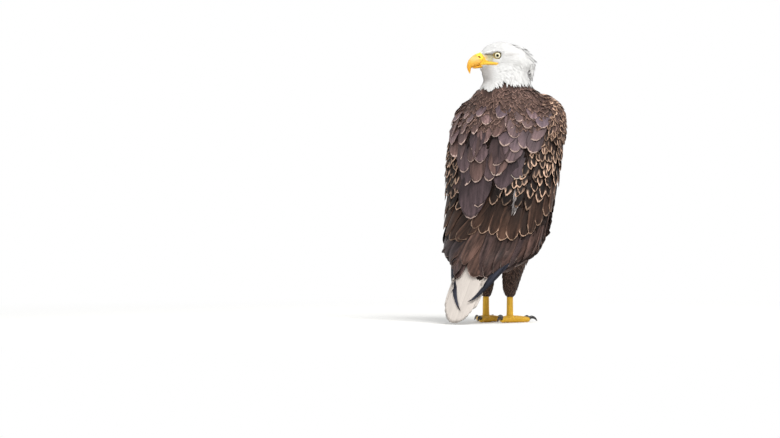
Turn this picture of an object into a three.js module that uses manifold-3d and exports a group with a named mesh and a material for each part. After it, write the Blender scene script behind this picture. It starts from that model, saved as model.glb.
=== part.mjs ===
// A bald eagle, standing upright and looking back over its left shoulder, as the solids of a life-size model.
// Millimetres, +Z up. The breast faces -Y and the bird's left side is +X.
// Each solid reaches the tips of the feathers that cover it, and keeps a thin gap to its neighbours.
import * as THREE from "three";
import { mergeVertices } from "three/addons/utils/BufferGeometryUtils.js";
import Module from "manifold-3d";

const wasm = await Module();
wasm.setup();

// Driving dimensions.
const gap = 0.35; // between neighbouring pieces
const headHeight = 730; // level of the head's centre above the floor
const headTurn = 117; // degrees from straight ahead, towards the bird's left
const eyeRadius = 12;
const eyeAhead = 20; // eye centre, forward of the head's centre
const eyeOut = 23.5; // eye centre, out from the head's middle plane
const eyeUp = 10; // eye centre, above the head's centre
const ankleOut = 37; // ankle, out from the body's middle plane
const ankleBack = 44; // ankle, behind the neck's foot
const ankleUp = 19;
const anklePadSize = [13, 13.5, 14, 7]; // half sizes across, along and up, and the drop below the ankle
const clawReach = 25; // length of a claw along the floor
const padDip = 0.8; // how far a toe pad presses flat on the floor
const faceFullness = 0.6; // how squarely a wing's outer face turns in at its edges: 1 is round, 0 is square

const up = new THREE.Vector3(0, 0, 1);
const leftward = new THREE.Vector3(1, 0, 0);
const radians = THREE.MathUtils.degToRad;

// A smooth curve through rows [place, value, value, ...] with rising places, which never overshoots them.
function through(rows) {
  const slope = (i, k) => (rows[i + 1][k] - rows[i][k]) / (rows[i + 1][0] - rows[i][0]);
  const tangent = (i, k) => {
    if (i === 0) return slope(0, k);
    if (i === rows.length - 1) return slope(i - 1, k);
    const before = slope(i - 1, k);
    const after = slope(i, k);
    return before * after <= 0 ? 0 : (2 * before * after) / (before + after);
  };
  return (place) => {
    let i = 0;
    while (i < rows.length - 2 && place > rows[i + 1][0]) i++;
    const span = rows[i + 1][0] - rows[i][0];
    const t = THREE.MathUtils.clamp((place - rows[i][0]) / span, 0, 1);
    return rows[i].slice(1).map((value, j) => {
      const k = j + 1;
      const a = value * (1 + 2 * t) * (1 - t) ** 2 + rows[i + 1][k] * t * t * (3 - 2 * t);
      return a + span * (tangent(i, k) * t * (1 - t) ** 2 - tangent(i + 1, k) * t * t * (1 - t));
    });
  };
}

// A closed form on a sphere's mesh: pointAt(share, turn) gives the place of a point that lies at share of the
// way from the first pole to the last and at turn around the axis.
function grownForm(around, rings, pointAt) {
  const form = new THREE.SphereGeometry(1, around, rings);
  const position = form.getAttribute("position");
  const spot = new THREE.Vector3();
  for (let i = 0; i < position.count; i++) {
    spot.fromBufferAttribute(position, i);
    const share = (1 - THREE.MathUtils.clamp(spot.y, -1, 1)) / 2;
    const place = pointAt(share, Math.atan2(spot.z, spot.x));
    position.setXYZ(i, place.x, place.y, place.z);
  }
  return form;
}

// How far a form has opened at a share of its length, with each end rounded over its own part of that length.
function opening(share, ends) {
  const first = Math.min(1, share / ends[0]);
  const last = Math.min(1, (1 - share) / ends[1]);
  return Math.sqrt(Math.max(0, 1 - (1 - first) ** 2)) * Math.sqrt(Math.max(0, 1 - (1 - last) ** 2));
}

// A closed form of oval rings along a line. Each row is
// [place, x, y, z, half width, height above, height below].
// The rings stand across the line, or level where a height axis is given.
function ovalForm(rows, { around = 16, rings = 14, across = leftward, height = null, ends = [0.1, 0.1] }) {
  const at = through(rows);
  const first = rows[0][0];
  const length = rows[rows.length - 1][0] - first;
  return grownForm(around, rings, (share, turn) => {
    const [x, y, z, width, above, below] = at(first + share * length);
    const ahead = at(first + Math.min(1, share + 0.01) * length);
    const behind = at(first + Math.max(0, share - 0.01) * length);
    const along = new THREE.Vector3(...[0, 1, 2].map((k) => ahead[k] - behind[k])).normalize();
    const rise = height ?? new THREE.Vector3().crossVectors(along, across).normalize();
    const open = opening(share, ends);
    const lift = Math.sin(turn) > 0 ? above : below;
    return new THREE.Vector3(x, y, z)
      .addScaledVector(across, Math.cos(turn) * width * open)
      .addScaledVector(rise, Math.sin(turn) * lift * open);
  });
}

// A closed mesh as a solid that can be joined and cut.
function solidFrom(geometry) {
  const bare = geometry.clone();
  bare.deleteAttribute("normal");
  bare.deleteAttribute("uv");
  const merged = mergeVertices(bare, 1e-3);
  const made = (triVerts) =>
    new wasm.Manifold(
      new wasm.Mesh({ numProp: 3, vertProperties: merged.getAttribute("position").array, triVerts }),
    );
  const triangles = new Uint32Array(merged.index.array);
  const solid = made(triangles);
  return solid.volume() > 0 ? solid : made(triangles.reverse());
}

function geometryFrom(solid) {
  const mesh = solid.getMesh();
  const geometry = new THREE.BufferGeometry();
  geometry.setAttribute("position", new THREE.BufferAttribute(new Float32Array(mesh.vertProperties), 3));
  geometry.setIndex(new THREE.BufferAttribute(new Uint32Array(mesh.triVerts), 1));
  geometry.computeVertexNormals();
  return geometry;
}

// The same solid, larger by a margin all over.
function swollen(solid, margin) {
  const geometry = geometryFrom(solid);
  const position = geometry.getAttribute("position");
  const normal = geometry.getAttribute("normal");
  for (let i = 0; i < position.count; i++) {
    position.setXYZ(
      i,
      position.getX(i) + normal.getX(i) * margin,
      position.getY(i) + normal.getY(i) * margin,
      position.getZ(i) + normal.getZ(i) * margin,
    );
  }
  return solidFrom(geometry);
}

// What is left of a solid clear of its neighbours' whole forms: its largest body.
function clearOf(solid, ...forms) {
  const cut = forms.reduce((rest, form) => rest.subtract(swollen(form, gap)), solid);
  return cut.decompose().reduce((best, body) => (body.volume() > best.volume() ? body : best));
}

// A block far wider than the bird, between two levels, tilted about the head's side-to-side axis.
function slab(low, high, tilt = 0, frame = new THREE.Matrix4()) {
  const block = new THREE.BoxGeometry(900, 900, high - low);
  block.translate(0, 0, (high + low) / 2);
  block.applyMatrix4(new THREE.Matrix4().makeRotationY(radians(tilt)));
  return solidFrom(block.applyMatrix4(frame));
}

const floor = slab(-200, 0);

// Head and neck, made facing +X about the head's centre and then turned over the shoulder.
const headFrame = new THREE.Matrix4()
  .makeTranslation(0, 0, headHeight)
  .multiply(new THREE.Matrix4().makeRotationZ(radians(headTurn - 90)));
const sideways = new THREE.Vector3(0, 1, 0);
const headPart = (rows, shape) =>
  solidFrom(ovalForm(rows, { across: sideways, height: up, ...shape }).applyMatrix4(headFrame));

// Skull with its coat: a flat crown that falls away behind into the loose hackles.
const skull = headPart(
  [
    [0, -92, 0, -14, 14, 8, 10],
    [14, -78, 0, -18, 30, 27, 26],
    [28, -64, 0, -14, 36, 36, 36],
    [42, -50, 0, -10, 38, 40, 42],
    [60, -32, 0, -6, 39.5, 44, 44],
    [84, -8, 0, -3, 39, 49.5, 46],
    [100, 8, 0, -2, 36.5, 51.5, 44],
    [112, 20, 0, -2, 34.5, 51, 41],
    [127, 35, 0, -1, 28, 46, 36],
    [146, 54, 0, 0, 19.5, 36, 39],
    [159, 67, 0, -1, 14, 23.5, 33],
    [168, 76, 0, -4, 9, 16, 23],
  ],
  { around: 20, rings: 16, ends: [0.06, 0.05] },
);

// Brow: the bony ridge that shades the eye.
const brow = (side) =>
  headPart(
    [
      [0, 62, side * 12, 17, 4, 3, 4],
      [20, 44, side * 22, 20.5, 5, 4, 4],
      [40, 22, side * 31, 22.5, 6, 5, 3.5],
      [62, 0, side * 32.5, 21, 5, 5, 4],
    ],
    { around: 6, rings: 6, ends: [0.3, 0.4] },
  );

// Neck: its rings are level, given from the top down; it widens into the shoulders.
const neckForm = headPart(
  [
    [0, -10, 0, 4, 30, 30, 30],
    [24, -12, 0, -20, 39, 72, 70],
    [44, -9, 0, -40, 44, 75, 69],
    [60, -9, 0, -56, 48, 68, 65],
    [76, -7, 0, -72, 54, 72, 67],
    [89, -3, 0, -85, 63, 79, 75],
    [104, -2, 0, -100, 68, 82, 80],
    [126, -2, 0, -122, 60, 70, 70],
  ],
  { around: 20, rings: 12, height: new THREE.Vector3(1, 0, 0), ends: [0.12, 0.12] },
);

// Upper bill: each ring stands between a point of the ridge and a point of the cutting edge.
// Rows are [place, ridge forward, ridge up, edge forward, edge up, half width].
const billLine = through([
  [0, 56, 23, 56, -12, 15],
  [0.16, 73, 17.5, 65, -15.5, 14.2],
  [0.32, 86, 12.5, 74, -18.5, 12.2],
  [0.48, 96.2, 3.8, 83, -20.5, 10],
  [0.64, 104, -8, 90, -22.5, 7.6],
  [0.78, 106.2, -21, 94, -26, 5.4],
  [0.9, 103.2, -32, 95.6, -34, 3.2],
  [1, 97, -42.5, 96.6, -41.8, 0.8],
]);
function billForm(line, around, rings, ends) {
  return solidFrom(
    grownForm(around, rings, (share, turn) => {
      const [ridgeAhead, ridgeUp, edgeAhead, edgeUp, width] = line(share);
      const open = opening(share, ends);
      const lift = Math.sin(turn) * open;
      const squared = Math.sign(Math.cos(turn)) * Math.abs(Math.cos(turn)) ** (lift < 0 ? 0.55 : 1.15);
      return new THREE.Vector3(
        (ridgeAhead + edgeAhead) / 2 + (lift * (ridgeAhead - edgeAhead)) / 2,
        squared * width * open,
        (ridgeUp + edgeUp) / 2 + (lift * (ridgeUp - edgeUp)) / 2,
      );
    }).applyMatrix4(headFrame),
  );
}
const upperBillForm = billForm(billLine, 12, 13, [0.04, 0.06]);

// Gape: the fleshy yellow corner of the mouth, which runs back to below the eye.
const gape = (side) =>
  headPart(
    [
      [0, 66, side * 9.5, -13, 3, 3.6, 3.6],
      [22, 46, side * 22, -11.4, 3.4, 3.8, 3.2],
      [52, 17.5, side * 33, -12.2, 2.6, 2.4, 2.4],
    ],
    { around: 6, rings: 4, ends: [0.1, 0.25] },
  );

const lowerBillForm = billForm(
  through([
    [0, 50, -12, 50, -22, 15],
    [0.4, 66, -15, 64, -24, 13],
    [0.75, 79, -18.5, 77, -26, 10],
    [1, 92, -21.5, 90.5, -27.5, 5.6],
  ]),
  10,
  8,
  [0.06, 0.22],
);

const eyeBall = (side) =>
  solidFrom(
    new THREE.SphereGeometry(eyeRadius, 12, 8)
      .rotateX(Math.PI / 2)
      .translate(eyeAhead, side * eyeOut, eyeUp)
      .applyMatrix4(headFrame),
  );

// Trunk: level rings from the vent up to the shoulders.
// Rows are [height, y of the widest place, half width, depth of the breast, depth of the back].
const trunkRows = [
  [148, 116, 40, 24, 40],
  [170, 104, 68, 56, 66],
  [205, 84, 94, 86, 92],
  [250, 62, 112, 110, 110],
  [300, 44, 122, 128, 118],
  [358, 28, 132, 138, 121],
  [408, 15, 140, 137, 125],
  [469, -4, 145, 124, 131],
  [533, -27, 143, 100, 137],
  [590, -37, 128, 82, 120],
  [620, -28, 111, 78, 100],
  [640, -16, 90, 74, 84],
  [655, -6, 70, 62, 68],
  [672, -4, 50, 44, 46],
];
const trunkForm = solidFrom(
  ovalForm(
    trunkRows.map(([z, y, width, breast, back]) => [z, 0, y, z, width, back, breast]),
    { around: 24, rings: 19, height: new THREE.Vector3(0, 1, 0), ends: [0.07, 0.05] },
  ),
);

// The outer surface on which both folded wings lie. Rows as for the trunk.
const mantle = through([
  [104, 124, 82, 36, 104],
  [150, 100, 122, 62, 110],
  [181, 82, 147, 86, 118],
  [211, 68, 155, 107, 121],
  [250, 55, 159, 121, 126],
  [300, 40, 160, 130, 129],
  [358, 26, 163, 138, 131],
  [408, 13, 167, 138, 132],
  [469, -4, 172, 124, 134],
  [533, -28, 171, 98, 136],
  [583, -40, 159, 76, 120],
  [600, -39, 150, 73, 110],
  [620, -33, 132, 70, 98],
  [642, -22, 104, 66, 86],
]);

// Folded wing: a curved leaf on that surface, from the wrist at the shoulder down to the inner quills' tips.
// Rows are [height, degrees from the spine to the inner edge, degrees to the leading edge, thickness, bulge].
const leafTop = [
  [469, 33, 125, 36, 0],
  [533, 41, 134, 38, 2],
  [583, 52, 140, 36, 5],
  [606, 66, 134, 30, 5],
  [624, 82, 120, 20, 3],
];
const leafRows = {
  left: [
    [108, 15, 22, 4, 1],
    [120, 6, 28, 6, 1],
    [150, 4, 35, 9, 1],
    [166, 4, 42, 11, 1],
    [184, 4, 57, 13, 0],
    [211, 5, 86, 16, -1],
    [272, 10, 104, 23, -4],
    [358, 20, 112, 31, -4],
    [408, 26, 118, 34, 0],
    ...leafTop,
  ],
  right: [
    [120, 15, 22, 4, 1],
    [132, 6, 33, 6, 1],
    [150, 4, 52, 9, 1],
    [181, 4, 76, 12, 1],
    [211, 5, 92, 16, 1],
    [250, 8, 99, 20, 4],
    [280, 11, 105, 24, 8],
    [358, 20, 112, 31, 8],
    [408, 26, 118, 34, 4],
    ...leafTop,
  ],
};
function wingForm(side, rows) {
  const leaf = through(rows);
  const lowest = rows[0][0];
  const highest = 636;
  return solidFrom(
    grownForm(16, 19, (share, turn) => {
      const z = lowest + share * (highest - lowest);
      const [inner, leading, thickness, bulge] = leaf(z);
      const [y, width, breast, back] = mantle(z);
      const open = opening(share, [0.03, 0.1]);
      const middle = radians((inner + leading) / 2);
      const angle = middle + radians((leading - inner) / 2) * Math.cos(turn) * open;
      const depth = Math.cos(angle) > 0 ? back : breast;
      const slope = [(side * Math.sin(angle)) / width, Math.cos(angle) / depth];
      const outward = new THREE.Vector3(...slope, 0).normalize();
      const rise = Math.sin(turn) * open;
      const lift = bulge + thickness * ((rise > 0 ? rise ** faceFullness : 0.25 * rise) - 1);
      const spot = new THREE.Vector3(side * width * Math.sin(angle), y + depth * Math.cos(angle), z);
      return spot.addScaledVector(outward, lift);
    }),
  );
}

// Tail: the coverts thin out into a fan with a rounded tip, which just rests on the floor.
const tailForm = solidFrom(
  ovalForm(
    [
      [0, 0, 112, 300, 34, 20, 26],
      [75, 0, 148, 236, 42, 17, 30],
      [150, 2, 184, 169, 45, 10, 20],
      [210, 9, 211, 117, 49, 6, 10],
      [250, 15, 231.5, 78, 49.5, 4, 5],
      [300, 22, 254.7, 31, 42, 2.8, 2.8],
      [338, 27, 272, -3, 34, 2.4, 2.4],
    ],
    { around: 18, rings: 15, ends: [0.1, 0.2] },
  ),
);

// Wing tip: the stiff dark quills that lie over the tail, as a blade from under the wing to its point.
function tipForm(side, width, root, middle, point) {
  const tailLie = new THREE.Vector3(0, 0.887, 0.462); // outward from the upper face of the tail
  const sided = ([out, back, height]) => new THREE.Vector3(side * out, back, height);
  const [start, end] = [root, point].map(sided);
  const across = new THREE.Vector3().crossVectors(tailLie, end.clone().sub(start)).normalize();
  const row = (place, [out, back, height], half, thickness) => [
    place,
    side * out,
    back,
    height,
    half,
    thickness,
    thickness,
  ];
  return solidFrom(
    ovalForm([row(0, root, width, 2.4), row(0.6, middle, width, 2.2), row(1, point, width * 0.3, 1.4)], {
      around: 8,
      rings: 10,
      across,
      ends: [0.2, 0.2],
    }),
  );
}

// Thigh: the loose brown trousers over the leg.
const thighForm = (side) =>
  solidFrom(
    ovalForm(
      [
        [0, side * 54, 28, 268, 46, 50, 46],
        [54, side * 54, 29, 214, 45, 52, 48],
        [104, side * 45, 36, 164, 33, 42, 39],
        [144, side * 39.5, 41, 124, 25.5, 30, 28],
        [176, side * 37.5, 43.5, 92, 19.5, 21, 20],
        [200, side * ankleOut, ankleBack, 68, 15, 16, 15],
      ],
      { around: 14, rings: 9, ends: [0.2, 0.07] },
    ),
  );

const shankForm = (side) =>
  solidFrom(
    ovalForm(
      [
        [0, side * ankleOut, ankleBack, 104, 9, 10, 10],
        [50, side * ankleOut, ankleBack, 54, 9, 10.5, 10.5],
        [88, side * ankleOut, ankleBack, 16, 10.5, 11, 11],
      ],
      { around: 10, rings: 6, ends: [0.05, 0.08] },
    ),
  );

// Toes: each is [name, degrees from straight ahead to the outer side, length, half width].
const toes = [
  ["inner", -20, 52, 9.2],
  ["middle", 12, 72, 8.8],
  ["outer", 50, 58, 8.2],
  ["hind", 186, 46, 9.6],
];

function toeLine(side, degrees) {
  const angle = radians(degrees);
  const forward = new THREE.Vector3(side * Math.sin(angle), -Math.cos(angle), 0);
  return { forward, across: new THREE.Vector3(-forward.y, forward.x, 0) };
}

// A point at a reach along a toe and a height over the floor.
function toePoint(side, forward, reach, z) {
  return [side * ankleOut + forward.x * reach, ankleBack + forward.y * reach, z];
}

// Toe: three swollen pads press on the floor, and the joints between them arch clear of it.
function toeForm(side, [, degrees, length, width]) {
  const { forward, across } = toeLine(side, degrees);
  const row = (reach, z, wide, clearance) => [
    reach,
    ...toePoint(side, forward, reach, z),
    wide,
    wide * 0.9,
    z - clearance,
  ];
  return solidFrom(
    ovalForm(
      [
        row(-4, 12, width * 1.15, -padDip),
        row(length * 0.2, 12, width * 1.1, -padDip),
        row(length * 0.4, 12, width, 1.6),
        row(length * 0.6, 10.5, width * 1.06, -padDip),
        row(length * 0.78, 10.5, width * 0.9, 1.6),
        row(length * 0.92, 9, width * 0.95, -padDip),
        row(length, 9.5, width * 0.8, 2),
      ],
      { around: 8, rings: 8, across, height: up, ends: [0.12, 0.08] },
    ),
  );
}

// Claw: a tapering hook that springs from the top of the toe's end.
function clawForm(side, [, degrees, length, width]) {
  const { forward, across } = toeLine(side, degrees);
  const row = (share, z, wide) => [
    share,
    ...toePoint(side, forward, length - 5 + share * clawReach, z),
    wide,
    wide * 1.15,
    wide * 1.15,
  ];
  return solidFrom(
    ovalForm(
      [
        row(0, 10.5, width * 0.62),
        row(0.4, 14.5, width * 0.56),
        row(0.78, 11.5, width * 0.38),
        row(1, 3.2, 0.9),
      ],
      { around: 6, rings: 5, across, ends: [0.15, 0.12] },
    ),
  );
}

// Ankle pad: joins the four toes to the shank.
const anklePad = (side) => {
  const [across, along, tall, drop] = anklePadSize;
  const pad = new THREE.SphereGeometry(1, 10, 6).scale(across, along, tall);
  return solidFrom(pad.translate(side * ankleOut, ankleBack, ankleUp - drop));
};

// Cut and part the forms.
const sides = { left: 1, right: -1 };
const bothSides = (form) => Object.values(sides).map(form);
const gapes = bothSides(gape);
const headAndNeck = [skull, neckForm, ...bothSides(brow)].reduce((all, form) => all.add(form));
const upperBill = gapes.reduce((all, form) => all.add(form), upperBillForm);
const lowerBill = clearOf(lowerBillForm, upperBillForm, ...gapes);
const throatCut = -37; // level of the cut between head and neck
const cutTilt = -4; // its slope, in degrees
const head = clearOf(
  headAndNeck.intersect(slab(throatCut + gap / 2, 300, cutTilt, headFrame)),
  upperBillForm,
  ...gapes,
  lowerBillForm,
  ...bothSides(eyeBall),
);
const neck = clearOf(
  headAndNeck.intersect(slab(-300, throatCut - gap / 2, cutTilt, headFrame)),
  trunkForm,
  lowerBillForm,
);
const tail = clearOf(tailForm.subtract(floor), trunkForm);

const colours = {
  white: [0xf1efeb, 0.9],
  brown: [0x54443c, 0.88],
  wing: [0x5c4a40, 0.85],
  quill: [0x2b2830, 0.7],
  cream: [0xe9decd, 0.85],
  billYellow: [0xf5b52a, 0.4],
  footYellow: [0xe3b53a, 0.55],
  claw: [0x1d1a1a, 0.3],
  eye: [0xe6dca8, 0.1],
};

const eagle = new THREE.Group();

function place(name, solid, [color, roughness]) {
  const mesh = new THREE.Mesh(
    geometryFrom(solid),
    new THREE.MeshStandardMaterial({ color, roughness, metalness: 0 }),
  );
  mesh.name = name;
  eagle.add(mesh);
}

place("head", head, colours.white);
place("neck", neck, colours.white);
place("trunk", trunkForm, colours.brown);
place("tail", tail, colours.cream);
place("bill_upper", upperBill, colours.billYellow);
place("bill_lower", lowerBill, colours.billYellow);

const wingTip = {
  left: [7, [66, 178, 166], [46, 222, 103], [9, 259, 36]],
  right: [11, [78, 172, 176], [50, 217, 110], [6, 248, 62]],
};
for (const [name, side] of Object.entries(sides)) {
  const wholeWing = wingForm(side, leafRows[name]);
  const quills = tipForm(side, ...wingTip[name]);
  const thigh = thighForm(side);
  const shank = shankForm(side);
  const footForms = [...toes.map((toe) => toeForm(side, toe)), anklePad(side)];
  const foot = footForms.reduce((all, form) => all.add(form)).subtract(floor);
  place(`eye_${name}`, eyeBall(side), colours.eye);
  place(`wing_${name}`, clearOf(wholeWing, trunkForm, tailForm, neckForm), colours.wing);
  place(`wing_tip_${name}`, clearOf(quills, wholeWing, trunkForm, tailForm), colours.quill);
  place(`thigh_${name}`, clearOf(thigh, trunkForm, wholeWing, tailForm), colours.brown);
  place(`shank_${name}`, clearOf(shank, thigh), colours.footYellow);
  place(`foot_${name}`, clearOf(foot, shank), colours.footYellow);
  for (const toe of toes) {
    place(`claw_${toe[0]}_${name}`, clearOf(clawForm(side, toe), ...footForms), colours.claw);
  }
}

// The origin is on the floor, below the middle of the whole bird.
const bounds = new THREE.Box3().setFromObject(eagle);
eagle.position.set(-(bounds.min.x + bounds.max.x) / 2, -(bounds.min.y + bounds.max.y) / 2, 0);

export default eagle;
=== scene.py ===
import math

import bmesh
import bpy
import numpy as np
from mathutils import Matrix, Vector
from mathutils.bvhtree import BVHTree
from mathutils.kdtree import KDTree


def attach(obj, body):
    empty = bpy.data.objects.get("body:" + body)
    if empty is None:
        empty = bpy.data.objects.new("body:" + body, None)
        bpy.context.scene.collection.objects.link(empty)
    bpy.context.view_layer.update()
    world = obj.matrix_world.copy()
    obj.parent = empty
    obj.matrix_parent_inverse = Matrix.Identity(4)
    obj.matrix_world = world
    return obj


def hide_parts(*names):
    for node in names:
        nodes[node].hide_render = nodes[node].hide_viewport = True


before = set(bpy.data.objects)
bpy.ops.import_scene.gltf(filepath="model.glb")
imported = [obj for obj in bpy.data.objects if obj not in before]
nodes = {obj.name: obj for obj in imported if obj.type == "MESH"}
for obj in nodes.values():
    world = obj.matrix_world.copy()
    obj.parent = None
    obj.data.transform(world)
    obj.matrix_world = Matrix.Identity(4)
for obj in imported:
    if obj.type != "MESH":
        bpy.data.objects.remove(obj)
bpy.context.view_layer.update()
scene = bpy.context.scene
scene.view_settings.view_transform = "Standard"
dice = np.random.default_rng(27)

# Where the anatomy sits in the model's frame, in metres. The body faces -Y with its left at +X.
mm = 0.001
up = np.array([0, 0, 1.0])
bodyShift = np.array([0.00007, -0.0714, 0.0])
headCentre = bodyShift + [0, 0, 0.730]
headTurn = math.radians(27)
headForward = np.array([math.cos(headTurn), math.sin(headTurn), 0])
headLeft = np.array([-math.sin(headTurn), math.cos(headTurn), 0])


def bearing(azimuth, elevation):
    # The way to a camera or lamp: azimuth 0 stands in front of the bird, 90 at its left.
    a, e = math.radians(azimuth), math.radians(elevation)
    return Vector((math.sin(a) * math.cos(e), -math.cos(a) * math.cos(e), math.sin(e)))


def colour(code):
    channels = [int(code[i : i + 2], 16) / 255 for i in (1, 3, 5)]
    return tuple(c / 12.92 if c <= 0.04045 else ((c + 0.055) / 1.055) ** 2.4 for c in channels) + (1.0,)


def rgb(code):
    return np.array(colour(code)[:3])


def add(tree, kind, settings=None, **links):
    # One node: settings are its own properties, links its sockets by name, or as i0, i1 and so on. A link is
    # another node's socket, a node for its first socket, or a plain value.
    node = tree.nodes.new(kind)
    for key, value in (settings or {}).items():
        setattr(node, key, value)
    for key, value in links.items():
        byNumber = key[0] == "i" and key[1:].isdigit()
        socket = node.inputs[int(key[1:]) if byNumber else key.replace("_", " ")]
        value = value.outputs[0] if isinstance(value, bpy.types.Node) else value
        if isinstance(value, bpy.types.NodeSocket):
            tree.links.new(value, socket)
        else:
            socket.default_value = value
    return node


times, plus, minus, over = ({"operation": o} for o in ("MULTIPLY", "ADD", "SUBTRACT", "DIVIDE"))
smoothly = {"interpolation_type": "SMOOTHSTEP"}
scaled = {"operation": "SCALE"}  # a colour times a number


def span(low, high, toLow, toHigh):
    # The four ends of a Map Range node.
    return {"From_Min": low, "From_Max": high, "To_Min": toLow, "To_Max": toHigh}


def setStops(ramp, stops):
    elements = ramp.color_ramp.elements
    while len(elements) < len(stops):
        elements.new(0.5)
    for element, (place, code) in zip(elements, stops):
        element.position, element.color = place, colour(code)


def newMaterial(name, **settings):
    material = bpy.data.materials.new(name)
    material.use_nodes = True
    tree = material.node_tree
    tree.nodes.clear()
    shader = add(tree, "ShaderNodeBsdfPrincipled", None, **settings)
    add(tree, "ShaderNodeOutputMaterial", None, Surface=shader)
    return material, tree, shader


cameraView = {"azimuth": 207, "elevation": 1, "distance": 18.06, "lens": 300, "sensor": 36,
              "aim": (0.2845, 0.0735, 0.286)}
camera = bpy.data.objects.new("camera", bpy.data.cameras.new("camera"))
scene.collection.objects.link(camera)
camera.data.lens, camera.data.sensor_width = cameraView["lens"], cameraView["sensor"]
camera.data.clip_end = 200
towardCamera = bearing(cameraView["azimuth"], cameraView["elevation"])
camera.location = Vector(cameraView["aim"]) + towardCamera * cameraView["distance"]
camera.rotation_mode = "QUATERNION"
camera.rotation_quaternion = (-towardCamera).to_track_quat("-Z", "Y")
scene.camera = camera


def seenDirectly(tree):
    # 1 for what the eye sees straight, in a mirror or through glass, 0 for the light that falls on things.
    path = add(tree, "ShaderNodeLightPath")
    larger = {"operation": "MAXIMUM"}
    mirrored = add(tree, "ShaderNodeMath", larger, i0=path.outputs["Is Glossy Ray"],
                   i1=path.outputs["Is Transmission Ray"])
    return add(tree, "ShaderNodeMath", larger, i0=path.outputs["Is Camera Ray"], i1=mirrored)


# The floor is matt and pale round the feet, and fades to the white of the background.
floorLook = {"radius": 60.0, "tone": "#e9e8e5", "fadeFrom": 0.55, "fadeTo": 2.4}
bpy.ops.mesh.primitive_circle_add(vertices=96, radius=floorLook["radius"], fill_type="NGON")
floor = bpy.context.object
floor.name = "floor"
floorTone = colour(floorLook["tone"])
floorPaint, tree, shader = newMaterial("matt studio floor", Base_Color=floorTone, Roughness=0.9)
spot = add(tree, "ShaderNodeTexCoord")
reach = add(tree, "ShaderNodeVectorMath", {"operation": "LENGTH"}, i0=spot.outputs["Object"])
fade = add(tree, "ShaderNodeMapRange", smoothly, Value=reach.outputs["Value"],
           From_Min=floorLook["fadeFrom"], From_Max=floorLook["fadeTo"])
white = add(tree, "ShaderNodeEmission", None, Color=(1, 1, 1, 1), Strength=1.0)
blend = add(tree, "ShaderNodeMixShader", None, i1=shader, i2=white,
            i0=add(tree, "ShaderNodeMath", times, i0=fade, i1=seenDirectly(tree)))
tree.links.new(blend.outputs[0], tree.get_output_node("ALL").inputs["Surface"])
floor.data.materials.append(floorPaint)

# Soft even light: a pale sky and three broad lamps, the strongest over the camera's shoulder.
skyLook = {"tint": (0.97, 0.985, 1, 1), "strength": 0.56}
lampLook = {"key": {"power": 128, "distance": 3.4, "azimuth": 236, "elevation": 52, "size": 1.9},
            "fill": {"power": 22, "distance": 3.6, "azimuth": 140, "elevation": 25, "size": 2.6},
            "back": {"power": 36, "distance": 3.6, "azimuth": 25, "elevation": 40, "size": 2.6}}
lampAim = Vector((0, 0, 0.4))
world = bpy.data.worlds.new("studio sky")
scene.world = world
world.use_nodes = True
tree = world.node_tree
tree.nodes.clear()
sky = add(tree, "ShaderNodeBackground", None, Color=skyLook["tint"], Strength=skyLook["strength"])
backdrop = add(tree, "ShaderNodeBackground", None, Color=(1, 1, 1, 1), Strength=1.0)
blend = add(tree, "ShaderNodeMixShader", None, i0=seenDirectly(tree), i1=sky, i2=backdrop)
add(tree, "ShaderNodeOutputWorld", None, Surface=blend)
for name, look in lampLook.items():
    lamp = bpy.data.lights.new(name, "AREA")
    lamp.energy, lamp.size = look["power"], look["size"]
    stand = bpy.data.objects.new(name, lamp)
    away = bearing(look["azimuth"], look["elevation"])
    stand.location = lampAim + away * look["distance"]
    stand.rotation_mode = "QUATERNION"
    stand.rotation_quaternion = away.to_track_quat("Z", "Y")
    scene.collection.objects.link(stand)
print("camera, floor and light are set")


def meshObject(name, points, faces, material=None):
    # faces is a list of arrays of corners, each array with its own number of corners to a face.
    mesh = bpy.data.meshes.new(name)
    sizes = np.concatenate([np.full(len(f), f.shape[1], np.int32) for f in faces])
    corners = np.concatenate([np.asarray(f, np.int32).ravel() for f in faces])
    mesh.vertices.add(len(points))
    mesh.vertices.foreach_set("co", np.asarray(points, np.float32).ravel())
    mesh.loops.add(len(corners))
    mesh.loops.foreach_set("vertex_index", corners)
    mesh.polygons.add(len(sizes))
    mesh.polygons.foreach_set("loop_start", np.concatenate([[0], np.cumsum(sizes)[:-1]]).astype(np.int32))
    mesh.update(calc_edges=True)
    mesh.polygons.foreach_set("use_smooth", np.ones(len(sizes), bool))
    shape = bpy.data.objects.new(name, mesh)
    scene.collection.objects.link(shape)
    if material:
        mesh.materials.append(material)
    return shape


def pointsOf(shape, layer="co"):
    found = np.empty(len(shape.data.vertices) * 3, np.float32)
    shape.data.vertices.foreach_get(layer, found)
    return found.reshape(-1, 3).astype(float)


def normalsOf(shape):
    return pointsOf(shape, "normal")


def setPoints(shape, points):
    shape.data.vertices.foreach_set("co", np.asarray(points, np.float32).ravel())
    shape.data.update()


def trianglesOf(shape):
    shape.data.calc_loop_triangles()
    corners = np.empty(len(shape.data.loop_triangles) * 3, np.int32)
    shape.data.loop_triangles.foreach_get("vertices", corners)
    return corners.reshape(-1, 3)


def joined(name, shapes, remove=False):
    points, faces, start = [], [], 0
    for shape in shapes:
        points.append(pointsOf(shape))
        faces.append(trianglesOf(shape) + start)
        start += len(points[-1])
        if remove:
            bpy.data.objects.remove(shape)
    return meshObject(name, np.concatenate(points), [np.concatenate(faces)])


def ringFaces(rings, around, closed=False):
    # Quads between rings of points; closed joins the last ring to the first.
    i, j = np.meshgrid(np.arange(rings if closed else rings - 1), np.arange(around), indexing="ij")
    here, there, beside = i * around, (i + 1) % rings * around, (j + 1) % around
    return np.stack([here + j, there + j, there + beside, here + beside], -1).reshape(-1, 4)


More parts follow.
